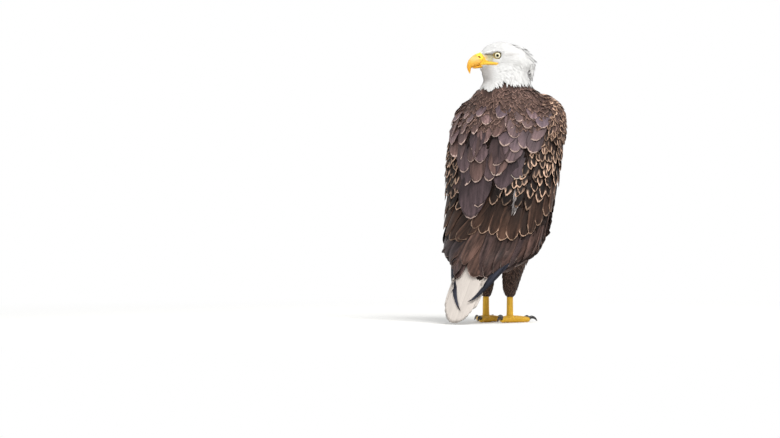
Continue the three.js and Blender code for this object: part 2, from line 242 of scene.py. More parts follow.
def capFaces(rings, around):
    # Fans that close both ends of a tube, whose two end points follow its rings.
    j, count = np.arange(around), rings * around
    beside, last = (j + 1) % around, count - around
    return np.concatenate([np.stack([np.full(around, count), j, beside], -1),
                           np.stack([np.full(around, count + 1), last + beside, last + j], -1)])


def applied(shape):
    # The shape with its modifiers carried out, in place of the original.
    graph = bpy.context.evaluated_depsgraph_get()
    graph.update()
    mesh = bpy.data.meshes.new_from_object(shape.evaluated_get(graph))
    name = shape.name
    bpy.data.objects.remove(shape)
    made = bpy.data.objects.new(name, mesh)
    scene.collection.objects.link(made)
    return made


def eased(shape, rounds):
    change = shape.modifiers.new("ease", "SMOOTH")
    change.factor, change.iterations = 0.5, rounds
    return applied(shape)


def remeshed(shape, voxel, rounds):
    change = shape.modifiers.new("voxels", "REMESH")
    change.mode, change.voxel_size, change.use_smooth_shade = "VOXEL", voxel, True
    return eased(shape, rounds)


def nodeGroup(name, inputs):
    # A geometry tree with a Geometry input and output and the named inputs besides.
    tree = bpy.data.node_groups.new(name, "GeometryNodeTree")
    for way in ("INPUT", "OUTPUT"):
        tree.interface.new_socket("Geometry", in_out=way, socket_type="NodeSocketGeometry")
    for label, kind in inputs.items():
        tree.interface.new_socket(label, in_out="INPUT", socket_type=kind)
    return tree, add(tree, "NodeGroupInput").outputs, add(tree, "NodeGroupOutput").inputs


def grown(shape, tree, values):
    # Runs a geometry tree on a shape, with its inputs set by name.
    change = shape.modifiers.new(tree.name, "NODES")
    change.node_group = tree
    for item in tree.interface.items_tree:
        if item.item_type == "SOCKET" and item.in_out == "INPUT" and item.name in values:
            change[item.identifier] = values[item.name]
    shape.update_tag()
    return applied(shape)


# Shrinks a closed mesh by a depth, as a level of the volume inside it, so that thin parts close up cleanly.
shrinkTree, given, made = nodeGroup("shrink inward", {"Voxel": "NodeSocketFloat", "Band": "NodeSocketFloat",
                                                      "Level": "NodeSocketFloat"})
filled = add(shrinkTree, "GeometryNodeMeshToVolume", {"resolution_mode": "VOXEL_SIZE"}, i0=given[0],
             Voxel_Size=given["Voxel"], Interior_Band_Width=given["Band"])
surface = add(shrinkTree, "GeometryNodeVolumeToMesh", None, i0=filled, Threshold=given["Level"])
shrinkTree.links.new(surface.outputs[0], made[0])


def shrunk(shape, depth, voxel):
    return grown(shape, shrinkTree, {"Voxel": voxel, "Band": 2 * depth, "Level": 0.5})


def treeOf(shape):
    return BVHTree.FromPolygons(pointsOf(shape).tolist(), trianglesOf(shape).tolist())


def nearest(tree, points):
    # Foot of each point on a surface, and the surface's normal there.
    found = [tree.find_nearest(point)[:2] for point in points.tolist()]
    return tuple(np.array([item[k] for item in found], float).reshape(-1, 3) for k in (0, 1))


def unit(v):
    return v / np.maximum(np.linalg.norm(v, axis=-1, keepdims=True), 1e-12)


def dot(a, b):
    return (a * b).sum(-1)


def ease(value, low, high):
    # Rises smoothly from 0 to 1 between two values.
    t = np.clip((np.asarray(value, float) - low) / (high - low), 0, 1)
    return t * t * (3 - 2 * t)


def bump(value, middle, width, power=2):
    # 1 at the middle, falling away on both sides within about a width.
    return np.exp(-(((value - middle) / width) ** power))


sides = {"left": 1, "right": -1}
plumedKinds = ("head", "neck", "trunk", "wing", "thigh", "tail")


def kindOf(name):
    return name.removesuffix("_left").removesuffix("_right")


def namesOf(*kinds):
    return [n for n in sorted(nodes) if kindOf(n) in kinds]


def fleshOf(*kinds):
    return [nodes[n] for n in namesOf(*kinds)]


# Level sections of the folded bird: height, middle, half width, depth to the breast and to the back, in mm.
girth = np.array([
    [104, 124, 82, 36, 104], [150, 100, 122, 62, 110], [181, 82, 147, 86, 118], [211, 68, 155, 107, 121],
    [250, 55, 159, 121, 126], [300, 40, 160, 130, 129], [358, 26, 163, 138, 131], [408, 13, 167, 138, 132],
    [469, -4, 172, 124, 134], [533, -28, 171, 98, 136], [583, -40, 159, 76, 120], [600, -39, 150, 73, 110],
    [620, -33, 132, 70, 98], [642, -22, 104, 66, 86],
], float)
# Folded wing: height, then its edges next to the spine and at the front, in degrees round from the spine.
wingEdges = np.array([
    [108, 15, 22], [120, 8, 33], [150, 4, 52], [181, 4, 76], [211, 5, 92], [272, 10, 104], [358, 20, 112],
    [408, 26, 118], [469, 33, 125], [533, 41, 134], [583, 52, 140], [606, 66, 134], [624, 82, 120],
], float)
# Outer edge of each group of scapulars: height, degrees round from the spine.
scapularEdge = {
    1: np.array([[250, 14], [300, 24], [390, 32], [450, 38], [500, 62], [560, 84], [600, 96]], float),
    -1: np.array([[330, 8], [360, 19], [400, 34], [420, 45], [450, 53], [500, 56], [560, 60], [600, 75]],
                 float),
}
backRadius = 150  # of the back, in mm, for turning degrees round it into distance
arc = math.radians(1) * backRadius


def read(table, places, column=1, **ends):
    # A table's column at places along its first one.
    return np.interp(places, table[:, 0], table[:, column], **ends)


def bodyPoint(angle, height):
    # A point of the level section, angle in degrees from the spine towards the left, height in mm.
    middle, half, breast, back = (read(girth, height, k) for k in (1, 2, 3, 4))
    a = np.radians(angle)
    depth = np.where(np.cos(a) > 0, back, breast)
    return np.stack([half * np.sin(a), middle + depth * np.cos(a), height + 0 * a], -1) * mm + bodyShift


def angleOf(points):
    # The angle and height of points, as bodyPoint takes them.
    p = (points - bodyShift) / mm
    middle, half, breast, back = (read(girth, p[:, 2], k) for k in (1, 2, 3, 4))
    away = p[:, 1] - middle
    return np.degrees(np.arctan2(p[:, 0] / half, away / np.where(away > 0, back, breast))), p[:, 2]


def headPlace(points):
    # Forward, left and up from the head's centre, in mm.
    p = (points - headCentre) / mm
    return p @ headForward, p @ headLeft, p[:, 2]


def headPoint(f, l, z):
    f, l, z = (np.asarray(v, float) for v in (f, l, z))
    return headCentre + (f[..., None] * headForward + l[..., None] * headLeft + z[..., None] * up) * mm


# The guide is the surface of the coat, which every feather follows. The groups of the back stand apart on it:
# a crease in front of each scapular group, a swell at the wrist, a valley along the spine and a hollow nape.
guideLook = {"voxel": 4, "crease": 5.0, "creaseWide": 9.0, "wrist": 3.0, "wristAt": 26, "wristWide": 16,
             "valley": 3.0, "valleyWide": 13.0, "nape": 8.5}
guide = remeshed(joined("guide", fleshOf(*plumedKinds)), guideLook["voxel"] * mm, 4)
points, normals = pointsOf(guide), normalsOf(guide)
turned, level = angleOf(points)
offset = np.zeros(len(points))
for side in (1, -1):
    beyond = (side * turned - read(scapularEdge[side], level)) * arc
    near = ease(level, 420, 470) * ease(655 - level, 0, 35) * (side * turned > 0)
    offset -= guideLook["crease"] * bump(beyond, 0, guideLook["creaseWide"]) * near
    offset += (guideLook["wrist"] * bump(beyond, guideLook["wristAt"], guideLook["wristWide"])
               * ease(level, 520, 570) * near)
valley = bump(turned * arc, 0, guideLook["valleyWide"]) * ease(level, 330, 420) * ease(620 - level, 0, 50)
offset -= guideLook["valley"] * valley
f, l, z = headPlace(points)
offset -= guideLook["nape"] * ease(-f, 42, 72) * ease(z, -75, -35) * ease(42 - z, 0, 22)
setPoints(guide, points + normals * (offset * mm)[:, None])
guideTree = treeOf(guide)
guidePoints, guideNormals = pointsOf(guide), normalsOf(guide)

# Each point of the guide belongs to the node that lies nearest.
together = joined("together", fleshOf(*plumedKinds))
cadTree = treeOf(together)
bpy.data.objects.remove(together)
faceKind = np.concatenate([[kindOf(n)] * len(trianglesOf(nodes[n])) for n in namesOf(*plumedKinds)])
guideKind = faceKind[[cadTree.find_nearest(p)[2] for p in guidePoints.tolist()]]


def isNode(*kinds):
    return np.isin(guideKind, kinds)


print("guide surface:", len(guidePoints), "points")

# Outline of each kind of vane: half width at places along it, how far the tip's corners stand back
# (in half widths), the power of its curve, and the grid it is made of.
outlines = {
    "down": {"rows": 4, "columns": 3, "width": [(0, 0.35), (0.4, 1), (0.8, 0.8), (1, 0.5)],
             "blunt": 1.3, "power": 1.2},
    "lance": {"rows": 5, "columns": 3, "width": [(0, 0.35), (0.3, 1), (0.65, 0.75), (1, 0.35)],
              "blunt": 1.8, "power": 1},
    "scale": {"rows": 6, "columns": 5, "width": [(0, 0.4), (0.45, 1), (0.8, 0.96), (1, 0.85)],
              "blunt": 1.2, "power": 1.7},
    "shield": {"rows": 11, "columns": 9, "width": [(0, 0.3), (0.25, 0.8), (0.6, 1), (0.85, 0.97), (1, 0.9)],
               "blunt": 1.05, "power": 2.0},
    "leaf": {"rows": 11, "columns": 9, "width": [(0, 0.3), (0.25, 0.8), (0.55, 1), (0.85, 0.95), (1, 0.85)],
             "blunt": 1.35, "power": 1.6},
    "tongue": {"rows": 14, "columns": 9, "width": [(0, 0.3), (0.15, 0.7), (0.5, 0.95), (0.85, 1), (1, 0.9)],
               "blunt": 1.05, "power": 1.9},
    "blade": {"rows": 16, "columns": 7, "width": [(0, 0.5), (0.3, 1), (0.6, 0.92), (0.85, 0.66), (1, 0.3)],
              "blunt": 1.8, "power": 1.3},
}
templates = {}


def template(kind, corner):
    # Grid of one vane: a top and a bottom skin that share their rim. Returns place across, place along, side
    # (1 top, -1 bottom, 0 rim) for each point, and the faces. Corner is how far back the tip's corners stand.
    if (kind, corner) in templates:
        return templates[kind, corner]
    outline = outlines[kind]
    rows, columns = outline["rows"], outline["columns"]
    fine = columns > 3
    across = np.sin(np.linspace(-math.pi / 2, math.pi / 2, columns)) if fine else np.linspace(-1, 1, columns)
    reach = 1 - corner * np.abs(across) ** outline["power"]
    along = np.linspace(0, 1, rows) ** 0.85
    a, v, side, index = [], [], [], {}

    def keyOf(layer, i, j):
        return (0 if i in (0, rows - 1) or j in (0, columns - 1) else layer, i, j)

    for layer in (1, -1):
        for i in range(rows):
            for j in range(columns):
                key = keyOf(layer, i, j)
                if key not in index:
                    index[key] = len(a)
                    a.append(across[j])
                    v.append(along[i] * reach[j])
                    side.append(key[0])
    faces = []
    for layer in (1, -1):
        for i in range(rows - 1):
            for j in range(columns - 1):
                quad = [index[keyOf(layer, *at)] for at in ((i, j), (i + 1, j), (i + 1, j + 1), (i, j + 1))]
                faces.append(quad if layer > 0 else quad[::-1])
    a, v, side = np.array(a), np.array(v), np.array(side)
    rimShare = 1 - corner * np.abs(a) ** outline["power"]
    half = np.interp(v / rimShare, *zip(*outline["width"]))
    form = {"a": a, "v": v, "side": side, "half": half, "rimShare": rimShare, "faces": np.array(faces)}
    templates[kind, corner] = form
    return form


def curveWeights(count, places):
    # Weights that pass one smooth curve through evenly spaced points, and those of its slope.
    knots = np.linspace(0, 1, count)
    value, slope = np.zeros((len(places), count)), np.zeros((len(places), count))
    for k in range(count):
        others = np.delete(knots, k)
        poly = np.poly(others) / np.prod(knots[k] - others)
        value[:, k], slope[:, k] = np.polyval(poly, places), np.polyval(np.polyder(poly), places)
    return value, slope


bakeMap = {"margin": 0.02, "patch": 0.003, "largest": 0.08, "clear": 0.66}


def patchSizes(places):
    # Each vane's patch on the bake map: 0.003 across, or more where that stays clear of its neighbours.
    tree = KDTree(len(places))
    for i, place in enumerate(places):
        tree.insert((*place, 0), i)
    tree.balance()
    gaps = np.array([tree.find_n((*place, 0), 2)[-1][2] for place in places])
    return np.clip(bakeMap["clear"] * gaps, bakeMap["patch"], bakeMap["largest"])


class Coat:
    # Vanes that end up in one piece.
    def __init__(self, name):
        self.name, self.start, self.parts = name, 0, []

    def grow(self, kind, paths, normals, widths, look, thick, camber, lean, ragged=0.0):
        # paths and normals: (vanes, stations, 3), from root to tip; widths are half widths, in metres.
        n = len(paths)
        length = np.linalg.norm(np.diff(paths, axis=1), axis=2).sum(1)
        corner = outlines[kind]["blunt"] * np.mean(widths) / np.mean(length)
        form = template(kind, round(min(0.6, corner), 2))
        value, slope = curveWeights(paths.shape[1], form["v"])
        middle = np.einsum("pk,nkx->npx", value, paths)
        outward = unit(np.einsum("pk,nkx->npx", value, normals))
        forward = unit(np.einsum("pk,nkx->npx", slope, paths))
        outward = unit(outward - forward * dot(outward, forward)[..., None])
        across = np.cross(outward, forward)
        calm = outward * np.where(form["side"] < 0, -1, 1)[None, :, None]
        c, s = np.cos(lean)[:, None, None], np.sin(lean)[:, None, None]  # rolled about its shaft
        across, outward = across * c + outward * s, outward * c - across * s
        half = form["half"][None, :] * np.broadcast_to(widths, (n,))[:, None]
        a, v, rimShare = form["a"][None, :], form["v"][None, :], form["rimShare"][None, :]
        edge = np.minimum((1 - np.abs(a)) * half, (rimShare - v) * length[:, None]).clip(0)
        height = thick * mm * (1 - a**2) * np.minimum(1, 6 * (1 - v / rimShare)) * form["side"]
        height = height - camber * a**2 * half
        points = middle + across * (a * half)[..., None] + outward * height[..., None]
        if ragged:
            onRim = (form["side"] == 0) & (form["v"] > 0.3)
            points += forward * (onRim * dice.normal(0, ragged, (n, len(onRim))))[..., None] * mm
        corners = len(form["a"])
        starts = self.start + np.arange(n) * corners
        each = {key: np.broadcast_to(np.asarray(item, float), (n, 3) if key in ("web", "fringe") else (n,))
                for key, item in look.items()}
        self.parts.append({
            "points": points.reshape(-1, 3),
            "calm": calm.reshape(-1, 3),
            "faces": (form["faces"][None] + starts[:, None, None]).reshape(-1, 4),
            "vane": np.stack([a * half, v * length[:, None], edge], -1).reshape(-1, 3) / mm,
            "reach": np.repeat(length / mm, corners),
            "web": np.repeat(np.c_[each["web"], each["seed"]], corners, 0),
            "fringe": np.repeat(np.c_[each["fringe"], each["rimWidth"]], corners, 0),
            "root": np.repeat(paths[:, 0], corners, 0),
            "patch": np.tile(np.stack([0.5 * form["a"] * form["half"], 0.5 - form["v"]], -1), (n, 1)),
            "corners": np.full(n, corners),
        })
        self.start += n * corners

    def finish(self, material, slot, unwrap, calm=0.0, replaced=()):
        gather = lambda key: np.concatenate([part[key] for part in self.parts])
        points = gather("points")
        points[:, 2] = np.maximum(points[:, 2], floorGap * mm)
        shape = meshObject(self.name, points, [gather("faces")], material)
        mesh = shape.data
        if calm:  # the vanes catch the light partly as the smooth surface under them does
            own = normalsOf(shape)
            blended = unit(own + (gather("calm") - own) * calm)
            mesh.normals_split_custom_set_from_vertices(blended.tolist())
        for key, kind, size in (("vane", "FLOAT_VECTOR", "vector"), ("web", "FLOAT_COLOR", "color"),
                                ("fringe", "FLOAT_COLOR", "color"), ("reach", "FLOAT", "value")):
            layer = mesh.attributes.new(key, kind, "POINT")
            layer.data.foreach_set(size, gather(key).astype(np.float32).ravel())
        flat = unwrap(gather("root"))
        low, high = flat.min(0), flat.max(0)
        flat = bakeMap["margin"] + (1 - 2 * bakeMap["margin"]) * (flat - low) / (high - low).max()
        corners = gather("corners")
        sizes = patchSizes(flat[np.cumsum(corners) - corners])
        flat += gather("patch") * np.repeat(sizes, corners)[:, None]
        order = np.empty(len(mesh.loops), np.int32)
        mesh.loops.foreach_get("vertex_index", order)
        mesh.uv_layers.new(name="OFBake").data.foreach_set("uv", flat[order].astype(np.float32).ravel())
        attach(shape, "root")
        if replaced:
            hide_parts(*replaced)
        print(f"{self.name}: {len(corners)} vanes, {2 * len(mesh.polygons)} triangles")


floorGap = 0.4  # mm that the lowest feathers stay clear of the floor
coats = {}


def coatNamed(name):
    return coats.setdefault(name, Coat(name))


def comb(roots, flow, lengths, stations, jitter):
    # Each vane's midline over the surface, from its root along the lie.
    feet, normals = nearest(guideTree, roots)
    paths, faces = [feet], [normals]
    swing = dice.normal(0, jitter, len(roots))
    for station in range(1, stations):
        lie = flow(paths[-1])
        lie = unit(lie - faces[-1] * dot(lie, faces[-1])[:, None])
        lie = unit(lie + np.cross(faces[-1], lie) * swing[:, None])
        feet, normals = nearest(guideTree, paths[-1] + lie * (lengths / (stations - 1))[:, None])
        paths.append(feet)
        faces.append(unit(0.5 * faces[-1] + normals))
    return np.stack(paths, 1), np.stack(faces, 1)


def lifted(paths, normals, root, tip):
    # Sinks the roots under the coat's surface and raises the tips, in mm (a number or one for each vane).
    share = np.linspace(0, 1, paths.shape[1])
    root, tip = (np.broadcast_to(np.asarray(x, float), (len(paths),)) for x in (root, tip))
    return paths + normals * ((root[:, None] + (tip - root)[:, None] * share) * mm)[..., None]


# Roots for small vanes: points spread evenly over the part of the guide that a tract covers.
spreadTree, given, made = nodeGroup("spread roots", {"Spacing": "NodeSocketFloat", "Seed": "NodeSocketInt"})
chosen = add(spreadTree, "GeometryNodeInputNamedAttribute", {"data_type": "FLOAT"}, Name="tract")
spread = add(spreadTree, "GeometryNodeDistributePointsOnFaces", {"distribute_method": "POISSON"},
             Mesh=given[0], Density_Max=1e6, Density_Factor=chosen.outputs["Attribute"],
             Distance_Min=given["Spacing"], Seed=given["Seed"])
dots = add(spreadTree, "GeometryNodePointsToVertices", None, Points=spread)
spreadTree.links.new(dots.outputs[0], made[0])
opening = {"above": 2, "reach": 12}  # mm in which nothing may lie over a root


def spreadRoots(mask, spacing, seed):
    patch = guide.copy()
    patch.data = guide.data.copy()
    scene.collection.objects.link(patch)
    layer = patch.data.attributes.new("tract", "FLOAT", "POINT")
    layer.data.foreach_set("value", mask.astype(np.float32))
    found = grown(patch, spreadTree, {"Spacing": spacing * mm, "Seed": seed})
    roots = pointsOf(found)
    bpy.data.objects.remove(found)
    # none in the narrow gaps between wing, thigh and trunk
    above, reach = opening["above"] * mm, opening["reach"] * mm
    clear = [guideTree.ray_cast(foot + normal * above, normal, reach)[0] is None
             for foot, normal in (map(Vector, pair) for pair in zip(*nearest(guideTree, roots)))]
    return roots[np.array(clear, bool)]


# Barbs: mm on for each mm out from the shaft, and waves to the mm over and along them.
barbLook = {"lean": 1.1, "pitch": 0.8, "stretch": 0.09}


def plumage(name, streaks, shaft, core, rootShade, roughness=0.62, sheen=0.02, gloss=0.12, coreReach=7.0,
            rimReach=24.0, rootReach=0.7, relief=0.35, fine=0.19, rimFrom=0.35, rimTo=1.15):
    # Keratin barbs, matt with a faint sheen. Web and fringe colours come from each vane. Over the web lie
    # streaks along the barbs (fine: waves to the mm across), a dark shaft, a core darker than the rest
    # beyond coreReach mm from the edge, painted shade towards the root where the row above would shadow
    # it, and a pale fringe round the last rimReach mm.
    material, tree, shader = newMaterial(name, Roughness=roughness, Specular_IOR_Level=gloss,
                                         Sheen_Weight=sheen)
    vane, web, fringe, reach = (add(tree, "ShaderNodeAttribute", {"attribute_name": label})
                                for label in ("vane", "web", "fringe", "reach"))
    across, along, edge = add(tree, "ShaderNodeSeparateXYZ", None, i0=vane.outputs["Vector"]).outputs
    off = add(tree, "ShaderNodeMath", {"operation": "ABSOLUTE"}, i0=across)
    out = add(tree, "ShaderNodeMath", times, i0=off, i1=barbLook["lean"])
    barb = add(tree, "ShaderNodeMath", minus, i0=along, i1=out)  # barbs lean out and on from the shaft

    def noiseOf(first, firstRate, second, secondRate, seedRate, **settings):
        rated = [add(tree, "ShaderNodeMath", times, i0=value, i1=rate) for value, rate in
                 ((first, firstRate), (second, secondRate), (web.outputs["Alpha"], seedRate))]
        spot = add(tree, "ShaderNodeCombineXYZ", None, i0=rated[0], i1=rated[1], i2=rated[2])
        return add(tree, "ShaderNodeTexNoise", None, Vector=spot, Scale=1.0, Detail=2.0, **settings)

    barbs = noiseOf(barb, barbLook["pitch"], across, barbLook["stretch"], 90.0, Roughness=0.6)
    bands = noiseOf(across, fine, along, 0.018, 70.0)
    grain = add(tree, "ShaderNodeMath", plus, i0=add(tree, "ShaderNodeMath", times, i0=barbs, i1=0.35),
                i1=add(tree, "ShaderNodeMath", times, i0=bands, i1=0.65))
    share = add(tree, "ShaderNodeMath", over, i0=along, i1=reach.outputs["Fac"])
    tones = [
        add(tree, "ShaderNodeMapRange", None, Value=grain,
            **span(0.36, 0.64, 1 - streaks, 1 + 1.3 * streaks)),
        add(tree, "ShaderNodeMapRange", smoothly, Value=edge, **span(0.5, coreReach, 1 + core, 1 - core)),
        # painted shade: darker towards the root, where the row above would shadow it
        add(tree, "ShaderNodeMapRange", None, Value=share, **span(0.15, rootReach, 1 - rootShade, 1.0)),
        add(tree, "ShaderNodeMapRange", smoothly, Value=off, **span(0.2, 0.8, 1 - shaft, 1.0)),
    ]
    tone = tones[0]
    for other in tones[1:]:
        tone = add(tree, "ShaderNodeMath", times, i0=tone, i1=other)
    webTone = add(tree, "ShaderNodeVectorMath", scaled, i0=web.outputs["Color"], Scale=tone)
    wander = add(tree, "ShaderNodeMath", {"operation": "MULTIPLY_ADD"}, i0=bands, i1=2.6, i2=-0.3)
    width = add(tree, "ShaderNodeMath", times, i0=fringe.outputs["Alpha"], i1=wander)
    inward = add(tree, "ShaderNodeMath", over, i0=edge, i1=width)
    rim = add(tree, "ShaderNodeMapRange", smoothly, Value=inward, **span(rimFrom, rimTo, 1.0, 0.0))
    left = add(tree, "ShaderNodeMath", minus, i0=reach.outputs["Fac"], i1=along)
    tip = add(tree, "ShaderNodeMapRange", smoothly, Value=left, **span(0.5 * rimReach, rimReach, 1.0, 0.0))
    finished = add(tree, "ShaderNodeMix", {"data_type": "RGBA"}, i6=webTone, i7=fringe.outputs["Color"],
                   i0=add(tree, "ShaderNodeMath", times, i0=rim, i1=tip))
    tree.links.new(finished.outputs[2], shader.inputs["Base Color"])
    rough = add(tree, "ShaderNodeBump", None, Height=barbs, Strength=relief, Distance=0.25 * mm)
    tree.links.new(rough.outputs[0], shader.inputs["Normal"])
    return material


whiteCoat = plumage("white head feathers, soft and matt", streaks=0.02, shaft=0.01, core=0.0, rootShade=0.06,
                    relief=0.08, sheen=0.1, gloss=0.1)
brownCoat = plumage("brown body feathers with buff edges", streaks=0.25, shaft=0.2, core=0.2, rootShade=0.5,
                    rimReach=22.0, rimFrom=-0.1, rimTo=1.5)
scapularCoat = plumage("grey-brown scapulars, smooth and thinly edged", streaks=0.42, shaft=0.24, core=-0.03,
                       coreReach=12.0, rootShade=0.7, rimReach=17.0, rootReach=0.88, roughness=0.5, fine=0.14)
wingCoat = plumage("wing coverts, dark centred with buff edges", streaks=0.6, shaft=0.15, core=0.42,
                   rootShade=0.65, roughness=0.55, rimReach=27.0, rootReach=0.85, coreReach=8.0, fine=0.15)
quillCoat = plumage("blackish flight feathers, firm and slightly glossy", streaks=0.7, shaft=0.2, core=0.2,
                    rootShade=0.5, roughness=0.42, rimReach=26.0, coreReach=10.0, fine=0.13)
tailCoat = plumage("cream tail feathers, firm", streaks=0.05, shaft=0.06, core=0.02, rootShade=0.1,
                   roughness=0.5)

tints = {
    "white": "#d4d3d1", "cream": "#c9c0b8", "mantle": "#523f39", "buff": "#ab8b7e", "scapular": "#4f4247",
    "scapularWarm": "#62493d", "scapularRim": "#ebcdc0", "covert": "#231713", "covertRim": "#e6bfa4",
    "greater": "#573f33", "quill": "#382e30", "shade": "#aaa4a0", "down": "#85807f", "primary": "#262730",
    "primaryRim": "#463b37", "breast": "#43342f", "breastRim": "#8a6d5c", "trouser": "#3d2f2a",
    "lores": "#dcd6b4",
}
brightest = 0.93


def shades(name, count, spread, other=None, share=0.0):
    # A colour for each of count vanes: the named tint, mixed with another by share, a bit lighter or darker.
    base = rgb(tints[name])[None] * np.ones((count, 1))
    if other:
        base = base + (rgb(tints[other]) - base) * np.broadcast_to(share, (count,))[:, None]
    return (base * (1 + dice.normal(0, spread, count))[:, None]).clip(0, brightest)


ahead, _, above = headPlace(guidePoints)
angle, high = angleOf(guidePoints)

# Height of the edge between white and brown, in mm: lower on the breast, with bibs round the nape. A bib is
# its degrees from the spine, its depth and its width.
whiteEdge = {"back": 651, "breast": -26, "bibs": ((-17, 14, 16), (3, -31, 18), (-9, 52, 20)), "hub": -5}


def borderAt(points):
    x, y = points[:, 0] - bodyShift[0], points[:, 1] - bodyShift[1] - whiteEdge["hub"] * mm
    turned = np.degrees(np.arctan2(x, y))
    bibs = sum(deep * bump(turned, middle, width) for deep, middle, width in whiteEdge["bibs"])
    return whiteEdge["back"] + bibs + whiteEdge["breast"] * ease(np.abs(turned), 95, 165)


def headLie(points):
    f, l, z = headPlace(points)
    t = ease(-0.9 * f - z, 0, 95)[:, None]
    outward = np.sign(l)[:, None] * headLeft * (0.25 * ease(f, 20, 60) * ease(-z, -60, 0))[:, None]
    return (1 - t) * -headForward + t * -up + outward


def bodyLie(points):
    h = points[:, 2] / mm
    back = ease(300 - h, 0, 200)
    breast = points[:, 1] < bodyShift[1]
    return np.stack([0 * h, np.where(breast, 0.2 + 0.7 * back, 0.1 + 0.35 * back), -1 + 0.35 * back], -1)


def thighLie(points):
    return np.broadcast_to([0, 0.12, -1.0], points.shape)


def wingLie(points):
    # Down the folded wing, at the same share of the way from its inner to its front edge.
    turned, h = angleOf(points)
    inner, front = read(wingEdges, h, 1), read(wingEdges, h, 2)
    share, side = (np.abs(turned) - inner) / (front - inner), np.sign(turned)

    def at(h):
        inner, front = read(wingEdges, h, 1), read(wingEdges, h, 2)
        return bodyPoint(side * (inner + share * (front - inner)), h)

    return unit(at(h - 12) - at(h + 12))


eye = {"ahead": 20, "out": 23.5, "up": 10, "radius": 12, "lidInner": 8.1, "lidOuter": 13.4, "pupil": 3.5,
       "iris": 8.2, "gazeAhead": 6}
# Upper edge of the yellow skin from the gape to the cere: ahead and up from the head's centre.
gapeEdge = np.array([[14, -10.5], [30, -8.4], [44, -6.6], [51, -3.5], [57, 5], [62, 13]], float)


def eyeGap(f, z):
    # Distance from the eye's middle in mm, as if its opening were as high as it is long.
    rise = z - eye["up"]
    return np.hypot(f - eye["ahead"], rise * np.where(rise > 0, 1.3, 1.14))


def isBare(points):
    # The yellow skin from the gape to the cere, the crease under the brow, where a painted shadow line shows,
    # and the eye with its lids.
    f, l, z = headPlace(points)
    yellow = (f > 16) & (f < 66) & (z <= read(gapeEdge, f) + 0.5) & (z > -15.5)
    crease = (f > 26) & (f < 60) & (z >= 12.2) & (z < 15.6)
    return (yellow | crease) & (np.abs(l) > 6) | (eyeGap(f, z) < 12.4)


def shadeShare(points):
    # Painted shade: the white is greyer under the throat and in a soft line behind the eye, where shade
    # falls.
    f, l, z = headPlace(points)
    throat = ease(f, 26, 52) * ease(-z, 15, 24) * ease(z + 78, 0, 30)
    return np.clip(0.75 * throat + 0.55 * bump(f, -10, 15) * bump(z, 12, 4.5), 0, 1)


fromFront = read(wingEdges, high, 2) - np.abs(angle)  # degrees behind the wing's front edge
border = borderAt(guidePoints)
isWhite = (high > border + 8) & isNode("head", "neck", "trunk")
lores = (ahead > 33) & (ahead < 62) & (above > read(gapeEdge, ahead)) & (above < 12.5)
offEye = eyeGap(ahead, above) > 11
face = isWhite & ((ahead > 30) | (np.hypot(ahead - eye["ahead"], above - eye["up"]) < 20)) & offEye
crown = isWhite & ~face & offEye & (-0.9 * ahead - above < 22)
nape = isWhite & ~face & ~crown & offEye
shoulder = isNode("trunk", "neck", "wing") & (high > 536) & ~isWhite
under = isNode("trunk") & ~isWhite & (high <= 640) & (np.abs(angle) > 84)
vent = isNode("trunk", "tail") & (high <= 200) & (high > 100) & (guideNormals[:, 1] < 0.1)
# inside the edges of the folded wings, which differ between left and right
wingReach = {"left": np.array([[118, 10], [150, 27], [166, 34], [184, 49], [211, 76], [260, 118]], float),
             "right": np.array([[118, 10], [150, 42], [181, 66], [211, 82], [260, 118]], float)}
backed = np.abs(angle) < np.where(angle > 0, read(wingReach["left"], high), read(wingReach["right"], high))
wingFront = isNode("wing") & (fromFront < 7) & (high <= 560) & (high > 200)
underLayer = isNode("wing", "trunk") & ~isWhite & backed & (high > 118)

